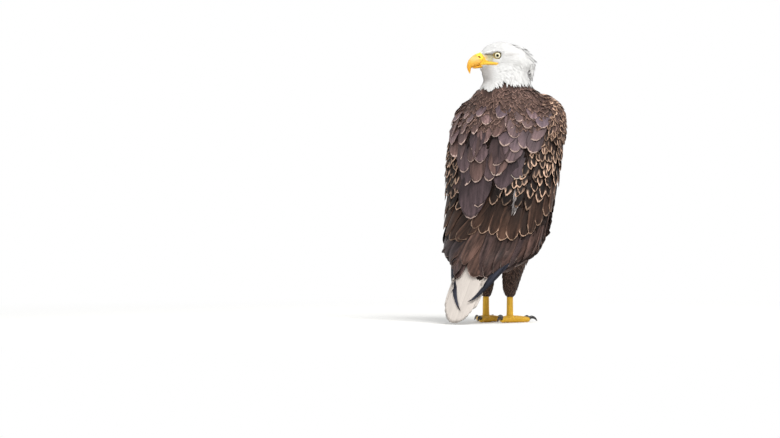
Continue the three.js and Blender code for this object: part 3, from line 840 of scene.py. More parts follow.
# Small feathers by tract: distance between roots, length and half width in mm, lifts of root and tip over the
# guide in mm, and the rim's colour and width.
smallTracts = {
    "face": {"coat": "plumage_face", "where": face & ~lores, "kind": "down", "gap": 1.8, "length": 7.0,
             "half": 2.3, "lie": headLie, "tint": "white", "root": -0.7, "tip": 0.05},
    "lores": {"coat": "plumage_face", "where": face & lores, "kind": "down", "gap": 2.3, "length": 4.0,
              "half": 0.5, "lie": headLie, "tint": "lores", "root": -0.5, "tip": 0.4},
    "crown": {"coat": "plumage_face", "where": crown, "kind": "lance", "gap": 2.6, "length": 13, "half": 3.5,
              "lie": headLie, "tint": "white", "root": -1.2, "tip": 0.1},
    "nape": {"coat": "plumage_neck", "where": nape, "kind": "lance", "gap": 3.6, "length": 27, "half": 5.6,
             "lie": headLie, "tint": "white", "root": -2.0, "tip": 0.3, "lengthSpread": 0.2},
    "collar": {"coat": "plumage_mantle", "where": shoulder & (high > 606) & (high < border + 1), "gap": 9.4,
               "length": 27, "half": 8.2, "lie": bodyLie, "tint": "mantle", "root": -3, "tip": 0.6,
               "rim": "buff", "rimWidth": 2.3, "lengthSpread": 0.2},
    "mantle": {"coat": "plumage_mantle", "where": shoulder & (high <= 606) & (np.abs(angle) < 112),
               "gap": 12.0, "length": 33, "half": 10.2, "lie": bodyLie, "tint": "mantle", "root": -4,
               "tip": 1.3, "rim": "buff", "rimWidth": 2.8},
    "breast": {"coat": "plumage_breast", "where": under & (high > 390), "gap": 11.5, "length": 34, "half": 10,
               "lie": bodyLie, "tint": "breast", "root": -4, "tip": 1.2, "rim": "breastRim", "rimWidth": 1.4},
    "belly": {"coat": "plumage_belly", "where": under & (high <= 390) & (high > 190), "gap": 12.5,
              "length": 38, "half": 11, "lie": bodyLie, "tint": "breast", "root": -4, "tip": 1.2,
              "rim": "breastRim", "rimWidth": 1.3},
    "vent": {"coat": "plumage_vent", "where": vent, "gap": 10, "length": 34, "half": 10, "lie": bodyLie,
             "tint": "cream", "root": -4, "tip": 0.5},
    "wingFront": {"coat": "plumage_mantle", "where": wingFront, "gap": 8.6, "length": 24, "half": 7,
                  "lie": wingLie, "tint": "covert", "root": -3, "tip": 0.8, "rim": "buff", "rimWidth": 1.2},
    # a dark under-layer: real feathers deep under the coat, in the darkest covert brown as painted shade that
    # shows through gaps in the coat
    "underLayer": {"coat": "plumage_under", "where": underLayer, "gap": 13, "length": 42, "half": 12,
                   "lie": wingLie, "tint": "covert", "root": -8, "tip": -4.2},
    "thighs": {"coat": "plumage_thighs", "where": isNode("thigh"), "gap": 8.4, "length": 30, "half": 6.6,
               "lie": thighLie, "tint": "trouser", "root": -4, "tip": 1.2, "rim": "breastRim",
               "rimWidth": 0.8},
}
# How a small feather is made: white ones are thinner, flatter and more even than brown ones.
makes = {"white": {"thick": 0.12, "camber": 0.03, "lean": 0.02, "lift": 0.1},
         "brown": {"thick": 0.25, "camber": 0.2, "lean": 0.12, "lift": 0.5}}
rootSetback = 0.55  # of its length that a feather's root lies ahead of its place
plainRim = 0.3
for seed, (name, tract) in enumerate(smallTracts.items()):
    roots = spreadRoots(tract["where"], tract["gap"], seed)
    if tract["coat"] == "plumage_face":
        roots = roots[~isBare(roots)]
    count = len(roots)
    isPale = tract["tint"] == "white"
    make = makes["white" if isPale else "brown"]
    uneven = dice.normal(0, tract.get("lengthSpread", 0.12), count)
    lengths = tract["length"] * mm * (1 + uneven).clip(0.6, 1.5)
    halves = tract["half"] * mm * (1 + dice.normal(0, 0.08, count)).clip(0.8, 1.3)
    roots = roots - unit(tract["lie"](roots)) * (rootSetback * lengths)[:, None]
    paths, normals = comb(roots, tract["lie"], lengths, 4, 0.1)
    tips = tract["tip"] + np.abs(dice.normal(0, make["lift"], count))
    if name == "nape":
        f, l, z = headPlace(paths[:, -1])
        tips += ease(-f, 45, 80) * ease(z, -60, -20) * dice.uniform(0, 3, count)
    # the mantle's colours pass into the breast's round the side, and the white of the vent below the belly
    isMantle, blends = tract["tint"] == "mantle", tract["tint"] in ("mantle", "cream")
    toBreast = ease(np.abs(angleOf(roots)[0]), 68, 112) if isMantle else ease(roots[:, 2] / mm, 146, 184)
    if isPale:
        # the white is greyed with painted shade under the throat and behind the eye
        web = shades("white", count, 0.03, "shade", shadeShare(paths[:, 1]))
    else:
        web = shades(tract["tint"], count, 0.1, "breast" if blends else None, toBreast)
    look = {"web": web, "seed": dice.random(count), "fringe": web,
            "rimWidth": tract.get("rimWidth", plainRim)}
    if not isPale:
        rim = tract.get("rim", tract["tint"])
        look["fringe"] = shades(rim, count, 0.12, "breastRim" if blends else None, toBreast)
    coatNamed(tract["coat"]).grow(
        tract.get("kind", "scale"), lifted(paths, normals, tract["root"], tips), normals, halves, look,
        make["thick"], make["camber"], dice.normal(0, make["lean"], count),
        0.25 if tract["half"] > 4 else 0.0)

# Hackles: at the nape the long feathers close into a few pointed locks that stand clear of the neck. The tips
# are ahead and up from the head's centre; the low ones hang nearly straight.
hackles = {"tips": [(-66, 25), (-73, 17), (-81, 8), (-92, -11), (-86, -22), (-84, -35), (-79, -50),
                    (-77, -64)],
           "vanes": 18, "length": 42, "half": 5.6, "rootSpread": 24, "tipSpread": 6, "hang": 83, "sunk": -3,
           "clear": 4}
for tipAhead, tipUp in hackles["tips"]:
    count = hackles["vanes"]
    fan = np.linspace(-1, 1, count) + dice.normal(0, 0.05, count)
    steep = math.radians(38 + 0.9 * (25 - tipUp) if tipUp > -25 else hackles["hang"])
    back = hackles["length"] * dice.uniform(0.8, 1.1, count)
    tips = np.stack([tipAhead + 9 * np.abs(fan) ** 1.5 + dice.normal(0, 1, count), hackles["tipSpread"] * fan,
                     tipUp + 4 * np.abs(fan) + dice.normal(0, 1.5, count)], -1)
    starts = np.stack([tips[:, 0] + back * math.cos(steep), hackles["rootSpread"] * fan,
                       tips[:, 2] + back * math.sin(steep)], -1)
    roots, _ = nearest(guideTree, headPoint(*starts.T))
    share = np.linspace(0, 1, 5)[None, :, None]
    chord = roots[:, None] + (headPoint(*tips.T) - roots)[:, None] * share
    feet, normals = (item.reshape(count, 5, 3) for item in nearest(guideTree, chord.reshape(-1, 3)))
    clear = (hackles["sunk"] + (hackles["clear"] - hackles["sunk"]) * share) * mm
    clear = clear - dot(chord - feet, normals)[..., None]
    coatNamed("plumage_neck").grow(
        "lance", chord + normals * np.maximum(clear, 0), normals,
        hackles["half"] * mm * dice.uniform(0.8, 1.15, count),
        {"web": shades("white", count, 0.02), "seed": dice.random(count),
         "fringe": shades("white", count, 0.02), "rimWidth": plainRim},
        0.35, 0.12, dice.normal(0, 0.12, count), 0.3)
print("small feathers are laid")

# How each kind of large feather is shaped and coloured: lifts of root and tip over the surface in mm, how
# dull its rim may get, the rest as in Coat.grow. "levels" are two heights in mm and the web's tones there.
evenly = (0, 1, 1, 1)
feathers = {
    "scapular": {"kind": "shield", "tint": "scapular", "other": "scapularWarm", "mixed": 0.6, "spread": 0.17,
                 "rim": "scapularRim", "rimWidth": 4.6, "root": -6.5, "tip": 1.8, "thick": 0.4,
                 "camber": 0.05, "ragged": 0.6, "wobble": 0.06, "dull": 0.42,
                 "levels": (330, 0.76, 560, 1.72)},
    "covert": {"kind": "leaf", "tint": "covert", "other": "greater", "mixed": 0.3, "spread": 0.2,
               "rim": "covertRim", "rimWidth": 5.6, "root": -5, "tip": 2.8, "thick": 0.35, "camber": 0.15,
               "ragged": 0.6, "wobble": 0.12, "dull": 0.8, "levels": (330, 0.55, 560, 1.2)},
    "lesser": {"kind": "scale", "tint": "covert", "other": "greater", "mixed": 0.8, "spread": 0.2,
               "rim": "covertRim", "rimWidth": 3.8, "root": -4, "tip": 2.4, "thick": 0.3, "camber": 0.2,
               "ragged": 0.4, "wobble": 0.14, "dull": 0.8, "levels": (400, 0.95, 600, 1.3)},
    "greater": {"kind": "tongue", "tint": "greater", "other": "covert", "mixed": 0.7, "spread": 0.12,
                "rim": "covertRim", "rimWidth": 3.6, "root": -6, "tip": 1.6, "thick": 0.4, "camber": 0.15,
                "ragged": 0.8, "wobble": 0.06, "dull": 0.42, "levels": (250, 0.88, 400, 1.0)},
    "secondary": {"kind": "tongue", "tint": "quill", "other": "greater", "mixed": 0.65, "spread": 0.2,
                  "rim": "scapularRim", "rimWidth": 2.1, "root": -7, "tip": 0.8, "thick": 0.5, "camber": 0.15,
                  "ragged": 0.7, "wobble": 0.05, "dull": 0.8, "levels": (120, 0.95, 300, 0.95)},
    "wisp": {"kind": "lance", "tint": "down", "other": "greater", "mixed": 0.3, "spread": 0.08, "rim": "down",
             "rimWidth": 0.5, "root": -1, "tip": 3.2, "thick": 0.2, "camber": 0.05, "ragged": 0.5,
             "wobble": 0.2, "dull": 0.8, "levels": evenly},
    "primary": {"kind": "blade", "tint": "primary", "other": None, "mixed": 0, "spread": 0.06,
                "rim": "primaryRim", "rimWidth": 1.5, "root": 0, "tip": 0, "thick": 0.5, "camber": 0.1,
                "ragged": 0.2, "wobble": 0.0, "dull": 0.8, "levels": evenly},
    "rectrix": {"kind": "tongue", "tint": "cream", "other": None, "mixed": 0, "spread": 0.03, "rim": "white",
                "rimWidth": 1.0, "root": 0, "tip": 0, "thick": 0.5, "camber": 0.12, "ragged": 0.3,
                "wobble": 0.01, "dull": 0.8, "levels": evenly},
}


def plant(coat, name, paths, normals, halves, sink=0.0, stand=0.0, dim=0.0):
    # sink lowers the whole feather, stand raises its tip, and dim takes away from every rim.
    feather = feathers[name]
    count = len(paths)
    halves = np.broadcast_to(halves, (count,)) * mm * (1 + dice.normal(0, 0.04, count))
    low, lowTone, top, topTone = feather["levels"]
    mixed = feather["mixed"] * dice.random(count)
    web = shades(feather["tint"], count, feather["spread"], feather["other"], mixed)
    web = (web * np.interp(paths[:, -1, 2] / mm, (low, top), (lowTone, topTone))[:, None]).clip(0, brightest)
    dull = (dim + (1 - dim) * feather["dull"] * dice.random(count) ** 1.6)[:, None]
    fringe = shades(feather["rim"], count, 0.1) * (1 - dull) + web * dull
    tips = feather["tip"] + sink + stand + np.abs(dice.normal(0, 0.5, count))
    look = {"web": web, "seed": dice.random(count), "fringe": fringe,
            "rimWidth": feather["rimWidth"] * dice.uniform(0.7, 1.2, count)}
    coatNamed(coat).grow(
        feather["kind"], lifted(paths, normals, feather["root"] + sink, tips), normals, halves, look,
        feather["thick"], feather["camber"], dice.normal(0, feather["wobble"], count), feather["ragged"])


def laid(coat, name, side, turned, level, drift, lengths, halves, sink=0.0, stand=0.0, dim=0.0,
         scatter=(0.8, 2.5), stations=5):
    # Feathers with tips at given degrees from the spine and heights; each root lies drift degrees further
    # out.
    count = len(turned)
    turned, level = turned + dice.normal(0, scatter[0], count), level + dice.normal(0, scatter[1], count)
    lengths = np.broadcast_to(lengths, (count,)) * (1 + dice.normal(0, 0.04, count))
    rise = np.sqrt(np.maximum(lengths**2 - (np.abs(drift) * arc) ** 2, (0.4 * lengths) ** 2))
    bow = dice.normal(0, 1.2, count)
    stack = np.stack([
        bodyPoint(side * (turned + drift * t**1.15 + bow * math.sin(math.pi * t)), level + rise * t)
        for t in np.linspace(1, 0, stations)], 1)
    feet, normals = (item.reshape(stack.shape) for item in nearest(guideTree, stack.reshape(-1, 3)))
    normals[:, 1:-1] = unit(normals[:, :-2] + 2 * normals[:, 1:-1] + normals[:, 2:])
    plant(coat, name, feet, normals, halves, sink, stand, dim)


def along(line, places):
    # Points at shares of the way down a line of evenly spaced stations.
    line = np.asarray(line, float)
    return np.stack([np.interp(places, np.linspace(0, 1, len(line)), column) for column in line.T], -1)


# Long rows of the folded wings, inner to outer. Each station is the tip's degrees from the spine, its height,
# the drift of the root in degrees and the half width in mm. "sinks" are those of the inner and the outer end.
wingRows = {
    "secondary": {
        "count": 12, "length": {"left": 178, "right": 175}, "dim": {"left": 0.3, "right": 0.3},
        "sinks": (0, -3.5),
        "left": [(14, 160, -24, 24), (28, 110, -20, 19), (31, 140, -32, 24), (36, 164, -46, 26),
                 (43, 172, -54, 27), (52, 181, -48, 26), (66, 194, -30, 23), (82, 211, -8, 20),
                 (97, 240, 4, 18)],
        "right": [(4, 129, 14, 33), (20, 130, 10, 28), (37, 131, 8, 25), (50, 138, 8, 22), (60, 157, 8, 21),
                  (77, 168, 8, 20), (88, 197, 7, 19), (98, 230, 6, 18)]},
    "greater": {
        "count": 12, "length": {"left": 132, "right": 110}, "dim": {"left": 0.65, "right": 0},
        "sinks": (0.5, 0),
        "left": [(6, 258, -26, 19), (15, 238, -32, 20), (28, 224, -34, 21), (43, 232, -30, 19),
                 (60, 254, -18, 17), (76, 290, -6, 15), (90, 335, 1, 14), (101, 378, 3, 13)],
        "right": [(-4, 262, 9, 19), (11, 256, 8, 19), (24, 226, 7, 19), (40, 230, 5, 18), (53, 243, 5, 17),
                  (64, 265, 5, 16), (76, 293, 5, 15), (88, 330, 4, 14), (100, 375, 4, 13)]},
    "covert": {
        "count": 8, "length": {"left": 66, "right": 64}, "dim": {"left": 0, "right": 0}, "sinks": (0, 0),
        "left": [(20, 322, -8, 14), (36, 312, -8, 14), (52, 314, -5, 13), (68, 338, 0, 12), (84, 366, 2, 12),
                 (100, 400, 2, 11)],
        "right": [(10, 322, 4, 15), (25, 328, 3, 15), (37, 314, 2, 14), (49, 309, 2, 14), (63, 330, 2, 13),
                  (75, 351, 2, 12), (87, 376, 2, 12), (100, 402, 2, 11)]},
}
# Small coverts above them, row on row up to the wrist: the sizes of the first row and of the last. They start
# under the scapulars, overlap degrees inside their edge, and the hidden ones lie deeper.
lesser = {"first": 350, "last": 624, "pitch": (27, 12), "half": (11.5, 6), "length": (50, 22),
          "spacing": 1.75, "broad": 8.8, "overlap": 8, "above": 16, "hidden": 2, "deeper": -4.5}
for sideName, side in sides.items():
    for name, row in wingRows.items():
        turned, level, drift, half = along(row[sideName], np.linspace(1, 0, row["count"])).T
        sinks = np.linspace(*row["sinks"][::-1], row["count"])
        laid(f"plumage_quills_{sideName}" if name == "secondary" else f"plumage_wing_{sideName}", name, side,
             turned, level, drift, row["length"][sideName], half, sinks, dim=row["dim"][sideName],
             scatter=(1.4, 4.0))
    level, step = lesser["first"], 0
    covertTips = np.array(wingRows["covert"][sideName], float)
    while level < lesser["last"]:
        t = (level - lesser["first"]) / (lesser["last"] - lesser["first"])
        half, length, pitch = (lesser[key][0] + t**0.8 * (lesser[key][1] - lesser[key][0])
                               for key in ("half", "length", "pitch"))
        inner, front = read(wingEdges, level, 1), read(wingEdges, level, 2)
        edge = read(scapularEdge[side], level, left=0)
        turned = inner + np.degrees((np.arange(60) + step % 2 * 0.5) * lesser["spacing"] * half / backRadius)
        turned = turned[(turned < front - 1) & (turned > edge - lesser["overlap"])]
        turned = turned[level > read(covertTips, turned) + lesser["above"]]
        if len(turned):
            halves = half * dice.uniform(0.85, 1.15, len(turned))
            sink = np.where(turned < edge + lesser["hidden"], lesser["deeper"], 0)
            laid(f"plumage_wing_{sideName}", "covert" if half > lesser["broad"] else "lesser", side, turned,
                 level, 1.0, length, halves, sink, scatter=(1.5, 4.5), stations=4)
        level += pitch
        step += 1

# Scapulars, two groups of broad shields that close over the spine: height of the tips, their degrees from the
# spine, half width and length in mm. The lowest pair is the largest.
scapularRows = {
    "left": [(566, (13, 34, 58, 80), 20, 50), (548, (3, 24, 46, 68), 22, 58), (520, (14, 35, 56, 76), 25, 68),
             (491, (5, 30, 50), 27, 76), (466, (10, 40), 30, 84), (444, (2, 14, 34), 28, 92),
             (414, (26,), 30, 96), (388, (-5, 6, 19), 26, 104), (356, (27,), 28, 112), (320, (2,), 41, 130),
             (291, (8,), 45, 150)],
    "right": [(562, (10, 28, 46), 20, 52), (538, (20, 38, 54), 23, 60), (512, (8, 27, 47), 25, 68),
              (490, (36, 17), 27, 74), (470, (46, 30), 26, 80), (440, (12, 24), 30, 92), (412, (15,), 30, 92),
              (397, (34,), 30, 96), (370, (20,), 34, 104)],
}
for sideName, side in sides.items():
    for level, places, half, length in scapularRows[sideName][::-1]:
        places = np.array(places, float)
        stand = max(0.004 * (level - 360), 0.045 * (375 - level))  # the lowest and the highest stand out
        laid("plumage_scapulars", "scapular", side, places, level, 2 + 0.1 * places, length,
             half * dice.uniform(0.92, 1.08, len(places)), stand=stand, scatter=(1.2, 4.0))

# A tuft of grey down shows between the right coverts.
tuft = {"count": 12, "turned": 36, "spread": 2.2, "low": 296, "high": 338, "length": 36, "half": 2.6}
laid("plumage_wing_right", "wisp", -1, dice.normal(tuft["turned"], tuft["spread"], tuft["count"]),
     np.linspace(tuft["low"], tuft["high"], tuft["count"]), 0.8, tuft["length"], tuft["half"])

# Primaries: dark blades under the wing that cross over the tail. Stations are (out, back, height) in mm.
primaries = {
    "left": {"line": [(100, 70, 300), (82, 128, 232), (62, 178, 166), (46, 222, 103), (9, 259, 36)],
             "half": 9},
    "right": {"line": [(-118, 70, 300), (-101, 124, 236), (-78, 172, 176), (-50, 217, 110), (-6, 248, 62)],
              "half": 12.5},
}
primaryCount, primaryStep = 6, {"top": 0.06, "tip": 0.055, "under": 1.3, "out": 2.2}
tailFace = np.array([0, 0.887, 0.462])
for sideName, blade in primaries.items():
    for rank in range(primaryCount):
        places = np.linspace(primaryStep["top"] * rank, 1 - primaryStep["tip"] * rank, 5)
        path = along(blade["line"], places) * mm + bodyShift - tailFace * rank * primaryStep["under"] * mm
        path = path + np.array([sides[sideName] * primaryStep["out"] * rank * mm, 0, 0])
        plant(f"plumage_quills_{sideName}", "primary", path[None], np.broadcast_to(tailFace, (1, 5, 3)),
              blade["half"])

# Tail: twelve feathers fanned a little, the middle pair on top, the fan leaning to the bird's left. Stations
# are (back, height, half width, lean, fall of its sides) in mm.
tail = {"line": [(141, 280, 30, 0, 17), (178, 203, 44, 0.5, 12), (202.5, 147, 46, 5, 8),
                 (227.5, 91, 48, 13, 5), (251.5, 41, 46, 20.5, 3.5), (269.5, 3.5, 42, 26, 2.5)],
        "feathers": 12, "half": 19, "rounding": 0.2, "proud": 1.5, "under": 0.3, "floorGap": 1.5,
        "taper": 13, "inset": 6}
ranks = np.arange(tail["feathers"]) - (tail["feathers"] - 1) / 2
for rank in sorted(ranks, key=lambda r: -abs(r)):
    share = rank / ranks[-1]
    places = np.linspace(0, 1 - tail["rounding"] * abs(share) ** 2.4, 5)
    back, height, wide, lean, fall = along(tail["line"], places).T
    sideways = share * (wide - tail["taper"] * places - tail["inset"]) + lean
    path = np.stack([sideways, back, height], -1) * mm + bodyShift
    proud = tail["proud"] - tail["under"] * abs(rank) - fall * (1 - math.sqrt(1 - share**2))
    path += tailFace * proud[:, None] * mm
    path[:, 2] = np.maximum(path[:, 2], tail["floorGap"] * mm)
    plant("plumage_tail", "rectrix", path[None], np.broadcast_to(tailFace, (1, 5, 3)), tail["half"])
print("large feathers are laid")


def setTint(shape, tint):
    rgba = np.c_[tint, np.ones(len(tint))].astype(np.float32)
    shape.data.attributes.new("tint", "FLOAT_COLOR", "POINT").data.foreach_set("color", rgba.ravel())


def tubeRing(centres, outward, across, radii, around):
    # A closed ring of oval sections, with the unit vectors outward and across and the two half sizes of each.
    turns = np.linspace(0, 2 * math.pi, around, endpoint=False)
    points = (centres[:, None] + outward[:, None] * (radii[:, 0:1] * np.cos(turns))[..., None]
              + across[:, None] * (radii[:, 1:2] * np.sin(turns))[..., None])
    return points.reshape(-1, 3), ringFaces(*points.shape[:2], closed=True)[:, [0, 3, 2, 1]]


# One skin for all the flesh, sunk under the guide by the coat's depth.
bodySkin = {"depth": 6, "voxel": 4.7}
body = eased(shrunk(guide, bodySkin["depth"] * mm, bodySkin["voxel"] * mm), 3)

# The head is finer, and its skin comes up to the surface at the face, where the coat is thin.
faceLook = {"voxel": 1.7, "thin": 0.9, "cheek": 1.4, "neck": 2.6, "eyeRound": 1.2, "lores": 1.8, "brow": 1.3,
            "gapeProud": 0.9}
headSkin = remeshed(joined("headSkin", fleshOf("head", "neck")), faceLook["voxel"] * mm, 2)
points, normals = pointsOf(headSkin), normalsOf(headSkin)
f, l, z = headPlace(points)
depth = faceLook["thin"] + faceLook["cheek"] * ease(32 - f, 0, 30)
depth += faceLook["neck"] * ease(-0.6 * f - z, 10, 60)
fromEye = np.hypot(f - eye["ahead"], z - eye["up"])
depth += faceLook["eyeRound"] * ease(18 - fromEye, 0, 4) * (f < 60)
yellow = ease(read(gapeEdge, f) - z, -1.5, 1.5) * ease(f, 12, 22) * ease(z, -19, -15)
folds = faceLook["lores"] * bump(f, 44, 10) * bump(z, 4, 7)  # the hollow between eye and bill
folds += faceLook["brow"] * bump(f, 40, 16, 4) * bump(z, 13.4, 2.0)  # the crease under the brow
folds -= faceLook["gapeProud"] * yellow
points -= normals * ((depth + folds) * mm)[:, None]
# on the neck it stays under the coat's own surface
feet, away = nearest(guideTree, points)
above = dot(points - feet, away) + depth * mm
low = np.maximum.reduce([ease(-0.6 * f - z, 5, 30) * ease(40 - f, 0, 15), ease(-z, 40, 55), ease(-f, 30, 45)])
setPoints(headSkin, points - away * (np.maximum(above, 0) * low)[:, None])

# Shanks and toes carry plates: broad ones across the front of the shank and the top of each toe. A toe is its
# degrees outward from ahead and its length in mm.
ankle = {"out": 37, "back": 44}
toes = {"inner": (-20, 52), "middle": (12, 72), "outer": (50, 58), "hind": (186, 46)}
scutes = {"voxel": 1.3, "shankPitch": 5.2, "toePitch": 4.4, "depth": 0.7, "groove": 0.16, "inset": 0.3}
legSkin = remeshed(joined("legSkin", fleshOf("shank", "foot")), scutes["voxel"] * mm, 2)
points, normals = pointsOf(legSkin), normalsOf(legSkin)
place = (points - bodyShift) / mm
side = np.sign(place[:, 0])
fromAnkle = np.stack([(place[:, 0] - side * ankle["out"]) * side, place[:, 1] - ankle["back"]], -1)
reach, miss = np.zeros(len(points)), np.full(len(points), 1e9)
for degrees, length in toes.values():
    toward = np.array([math.sin(math.radians(degrees)), -math.cos(math.radians(degrees))])
    onward = fromAnkle @ toward
    off = np.where(onward > 0, np.abs(fromAnkle @ [toward[1], -toward[0]]), 1e9)
    reach, miss = np.where(off < miss, onward, reach), np.minimum(miss, off)
onToe = ease(24 - place[:, 2], -4, 4) > 0.5
step = np.where(onToe, reach / scutes["toePitch"], place[:, 2] / scutes["shankPitch"])
faced = np.where(onToe, normals[:, 2], -normals[:, 1] * 0.9 + 0.1)  # top of the toe, front of the shank
groove = bump(step - np.floor(step), 0.5, scutes["groove"]) * ease(faced, 0.15, 0.5)
points -= normals * ((scutes["inset"] + scutes["depth"] * groove) * mm)[:, None]
points[:, 2] = np.maximum(points[:, 2], scutes["inset"] * mm)
setPoints(legSkin, points)

# Lids: a ring round each eye, a little longer than high, with corners front and back and thickest above.
lidLook = {"turns": 56, "around": 12, "wide": 2.5, "thick": 1.25, "lid": 0.35, "corner": 0.25, "pinch": 0.10,
           "flat": 0.97, "upperFlat": 0.06, "clear": 0.5, "sweep": 0.6}
lids = []
for side in (1, -1):
    turns = np.linspace(0, 2 * math.pi, lidLook["turns"], endpoint=False)
    middle = (eye["lidInner"] + eye["lidOuter"]) / 2
    df = middle * (1 + lidLook["pinch"] * np.cos(turns) ** 4) * np.cos(turns)
    dz = middle * (lidLook["flat"] - lidLook["upperFlat"] * np.maximum(0, np.sin(turns))) * np.sin(turns)
    proud = math.sqrt((eye["radius"] + lidLook["clear"]) ** 2 - middle**2)  # where the ring clears the ball
    out = eye["out"] + proud - lidLook["sweep"] * np.cos(turns) ** 2
    centres = headPoint(eye["ahead"] + df, side * out, eye["up"] + dz)
    slope = unit(np.stack([df, 0 * df, dz], -1)) * 0.8 - np.array([0, side * 0.6, 0])  # outward and back
    outward = unit(slope) @ np.stack([headForward, headLeft, up])
    tangent = unit(np.roll(centres, -1, 0) - np.roll(centres, 1, 0))
    thick = lidLook["thick"] + lidLook["lid"] * np.maximum(0, np.sin(turns))
    thick += lidLook["corner"] * np.cos(turns) ** 4
    radii = np.stack([np.full(len(turns), lidLook["wide"]), thick], -1) * mm
    ringPoints, quads = tubeRing(centres, outward, unit(np.cross(tangent, outward)), radii, lidLook["around"])
    lids.append(meshObject("lid", ringPoints, [quads if side > 0 else quads[:, ::-1]]))

counts = [len(shape.data.vertices) for shape in (body, headSkin, legSkin)]
skin = joined("skin", [body, headSkin, legSkin] + lids, remove=True)
points = pointsOf(skin)
f, l, z = headPlace(points)
fromEye = np.hypot(f - eye["ahead"], z - eye["up"])
level = points[:, 2] / mm
index = np.arange(len(points))
onLid = index >= sum(counts)
onLeg = (index >= counts[0] + counts[1]) & ~onLid


def painted(base, code, share):
    return base + (rgb(code) - base) * np.clip(share, 0, 1)[:, None]


isPale = ease(level, borderAt(points) - 6, borderAt(points) + 6)
onFace = isPale * (np.abs(l) > 6)
tint = painted(np.tile(rgb("#3d2f28"), (len(points), 1)), tints["cream"], ease(150 - level, -12, 12))
tint = painted(tint, "#efeeea", isPale)
for code, share in (
    # the lores, painted shade on their upper part under the brow, a painted shadow line in the crease under
    # the brow, the skin next to the cere, and the gape
    ("#cdc49c", ease(f, 28, 36) * ease(62 - f, 0, 4) * ease(z, -14, -8) * ease(16 - z, 0, 3)),
    ("#857a62", 0.9 * ease(f, 24, 32) * ease(62 - f, 0, 12) * ease(z, 3, 13) * ease(17 - z, 0, 2)),
    ("#7a6a58", ease(f, 24, 30) * ease(60 - f, 0, 8) * bump(z, 13.6, 2.6, 4)),
    ("#e3bd84", ease(f, 46, 54) * ease(12 - z, 0, 3) * ease(z + 8, 0, 4)),
    ("#f7c33c", ease(read(gapeEdge, f) - z, -1.2, 1.2) * ease(f, 14, 20) * ease(z, -21, -17)
     * ease(14 - z, 0, 1.5) * (f < 72)),
):
    tint = painted(tint, code, share * onFace)
grooved = np.zeros(len(points))
grooved[onLeg] = groove
legTint = painted(np.tile(rgb("#e3b02f"), (len(points), 1)), "#8f6a1c", 0.8 * grooved)
tint = np.where(onLeg[:, None], legTint, tint)
turn = np.arctan2(z - eye["up"], f - eye["ahead"])  # 0 at the front corner of the eye
lidTint = painted(np.tile(rgb("#94824a"), (len(points), 1)), "#c3a955", ease(np.cos(turn + 0.9), -0.2, 0.9))
lidTint = painted(lidTint, "#4a3010", ease(np.cos(turn - 0.1), 0.86, 0.97) * ease(12.6 - fromEye, 0, 1.2))
inner = 1 - ease(fromEye, eye["lidInner"] - 0.4, eye["lidInner"] + 2.6)
tint = np.where(onLid[:, None], painted(lidTint, "#33281a", inner), tint)
setTint(skin, tint)

# Bare skin is leathery, with grains of about 2 mm that catch the light at their edges.
skinPaint, tree, shader = newMaterial("bare skin, leathery and scaled on the legs", Roughness=0.55,
                                      Specular_IOR_Level=0.35)
spot = add(tree, "ShaderNodeTexCoord").outputs["Object"]
grain = add(tree, "ShaderNodeTexVoronoi", {"feature": "DISTANCE_TO_EDGE"}, Vector=spot, Scale=420.0)
soft = add(tree, "ShaderNodeTexNoise", None, Vector=spot, Scale=90.0, Detail=3.0)
edge = add(tree, "ShaderNodeMapRange", None, Value=grain, **span(0.0, 0.12, 0.78, 1.0))
cloud = add(tree, "ShaderNodeMapRange", None, Value=soft, **span(0.3, 0.7, 0.88, 1.08))
tone = add(tree, "ShaderNodeMath", times, i0=edge, i1=cloud)
base = add(tree, "ShaderNodeAttribute", {"attribute_name": "tint"}).outputs["Color"]
toned = add(tree, "ShaderNodeVectorMath", scaled, i0=base, Scale=tone)
tree.links.new(toned.outputs[0], shader.inputs["Base Color"])
grained = add(tree, "ShaderNodeBump", None, Height=edge, Strength=0.4, Distance=0.3 * mm)
tree.links.new(grained.outputs[0], shader.inputs["Normal"])
skin.data.materials.append(skinPaint)
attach(skin, "root")
fleshKinds = ("head", "neck", "trunk", "wing", "thigh", "shank", "foot")
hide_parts(*[n for n in nodes if kindOf(n) in fleshKinds])
print("skin:", len(skin.data.polygons), "faces")


def recalculated(shape):
    # Turns every face outward.
    form = bmesh.new()
    form.from_mesh(shape.data)
    bmesh.ops.recalc_face_normals(form, faces=form.faces)
    form.to_mesh(shape.data)
    form.free()


# The eye is dull underneath, and the wet clear cornea over it gives one small sharp light. Its colours go by
# the distance from the line of sight, and fine rays run out across the iris.
eyePaint, tree, shader = newMaterial("pale yellow eye under a wet clear cornea", Roughness=0.5,
                                     Specular_IOR_Level=0.0, Coat_Weight=1.0, Coat_Roughness=0.03,
                                     Coat_IOR=1.3)
gaze = add(tree, "ShaderNodeAttribute", {"attribute_name": "gaze"}).outputs["Vector"]
spoke = add(tree, "ShaderNodeVectorMath", times, i0=gaze, i1=(0.25, 7.0, 7.0))
rays = add(tree, "ShaderNodeTexNoise", None, Vector=spoke, Scale=1.0, Detail=3.0)
tone = add(tree, "ShaderNodeMapRange", None, Value=rays, **span(0.3, 0.7, 0.86, 1.06))
fromSight = add(tree, "ShaderNodeSeparateXYZ", None, i0=gaze)
place = add(tree, "ShaderNodeMath", over, i0=fromSight, i1=eye["radius"])
zones = add(tree, "ShaderNodeValToRGB", None, Fac=place)
pupilEdge, irisEdge = eye["pupil"] / eye["radius"], eye["iris"] / eye["radius"]
setStops(zones, [(0, "#050505"), (pupilEdge - 0.015, "#050505"), (pupilEdge + 0.02, "#a59a6c"),
                 (0.42, "#dcd6b6"), (0.58, "#e2dcc2"), (irisEdge - 0.04, "#b9ac78"),
                 (irisEdge + 0.01, "#2c200f"), (0.85, "#1c140c")])
toned = add(tree, "ShaderNodeVectorMath", scaled, i0=zones, Scale=tone)
tree.links.new(toned.outputs[0], shader.inputs["Base Color"])

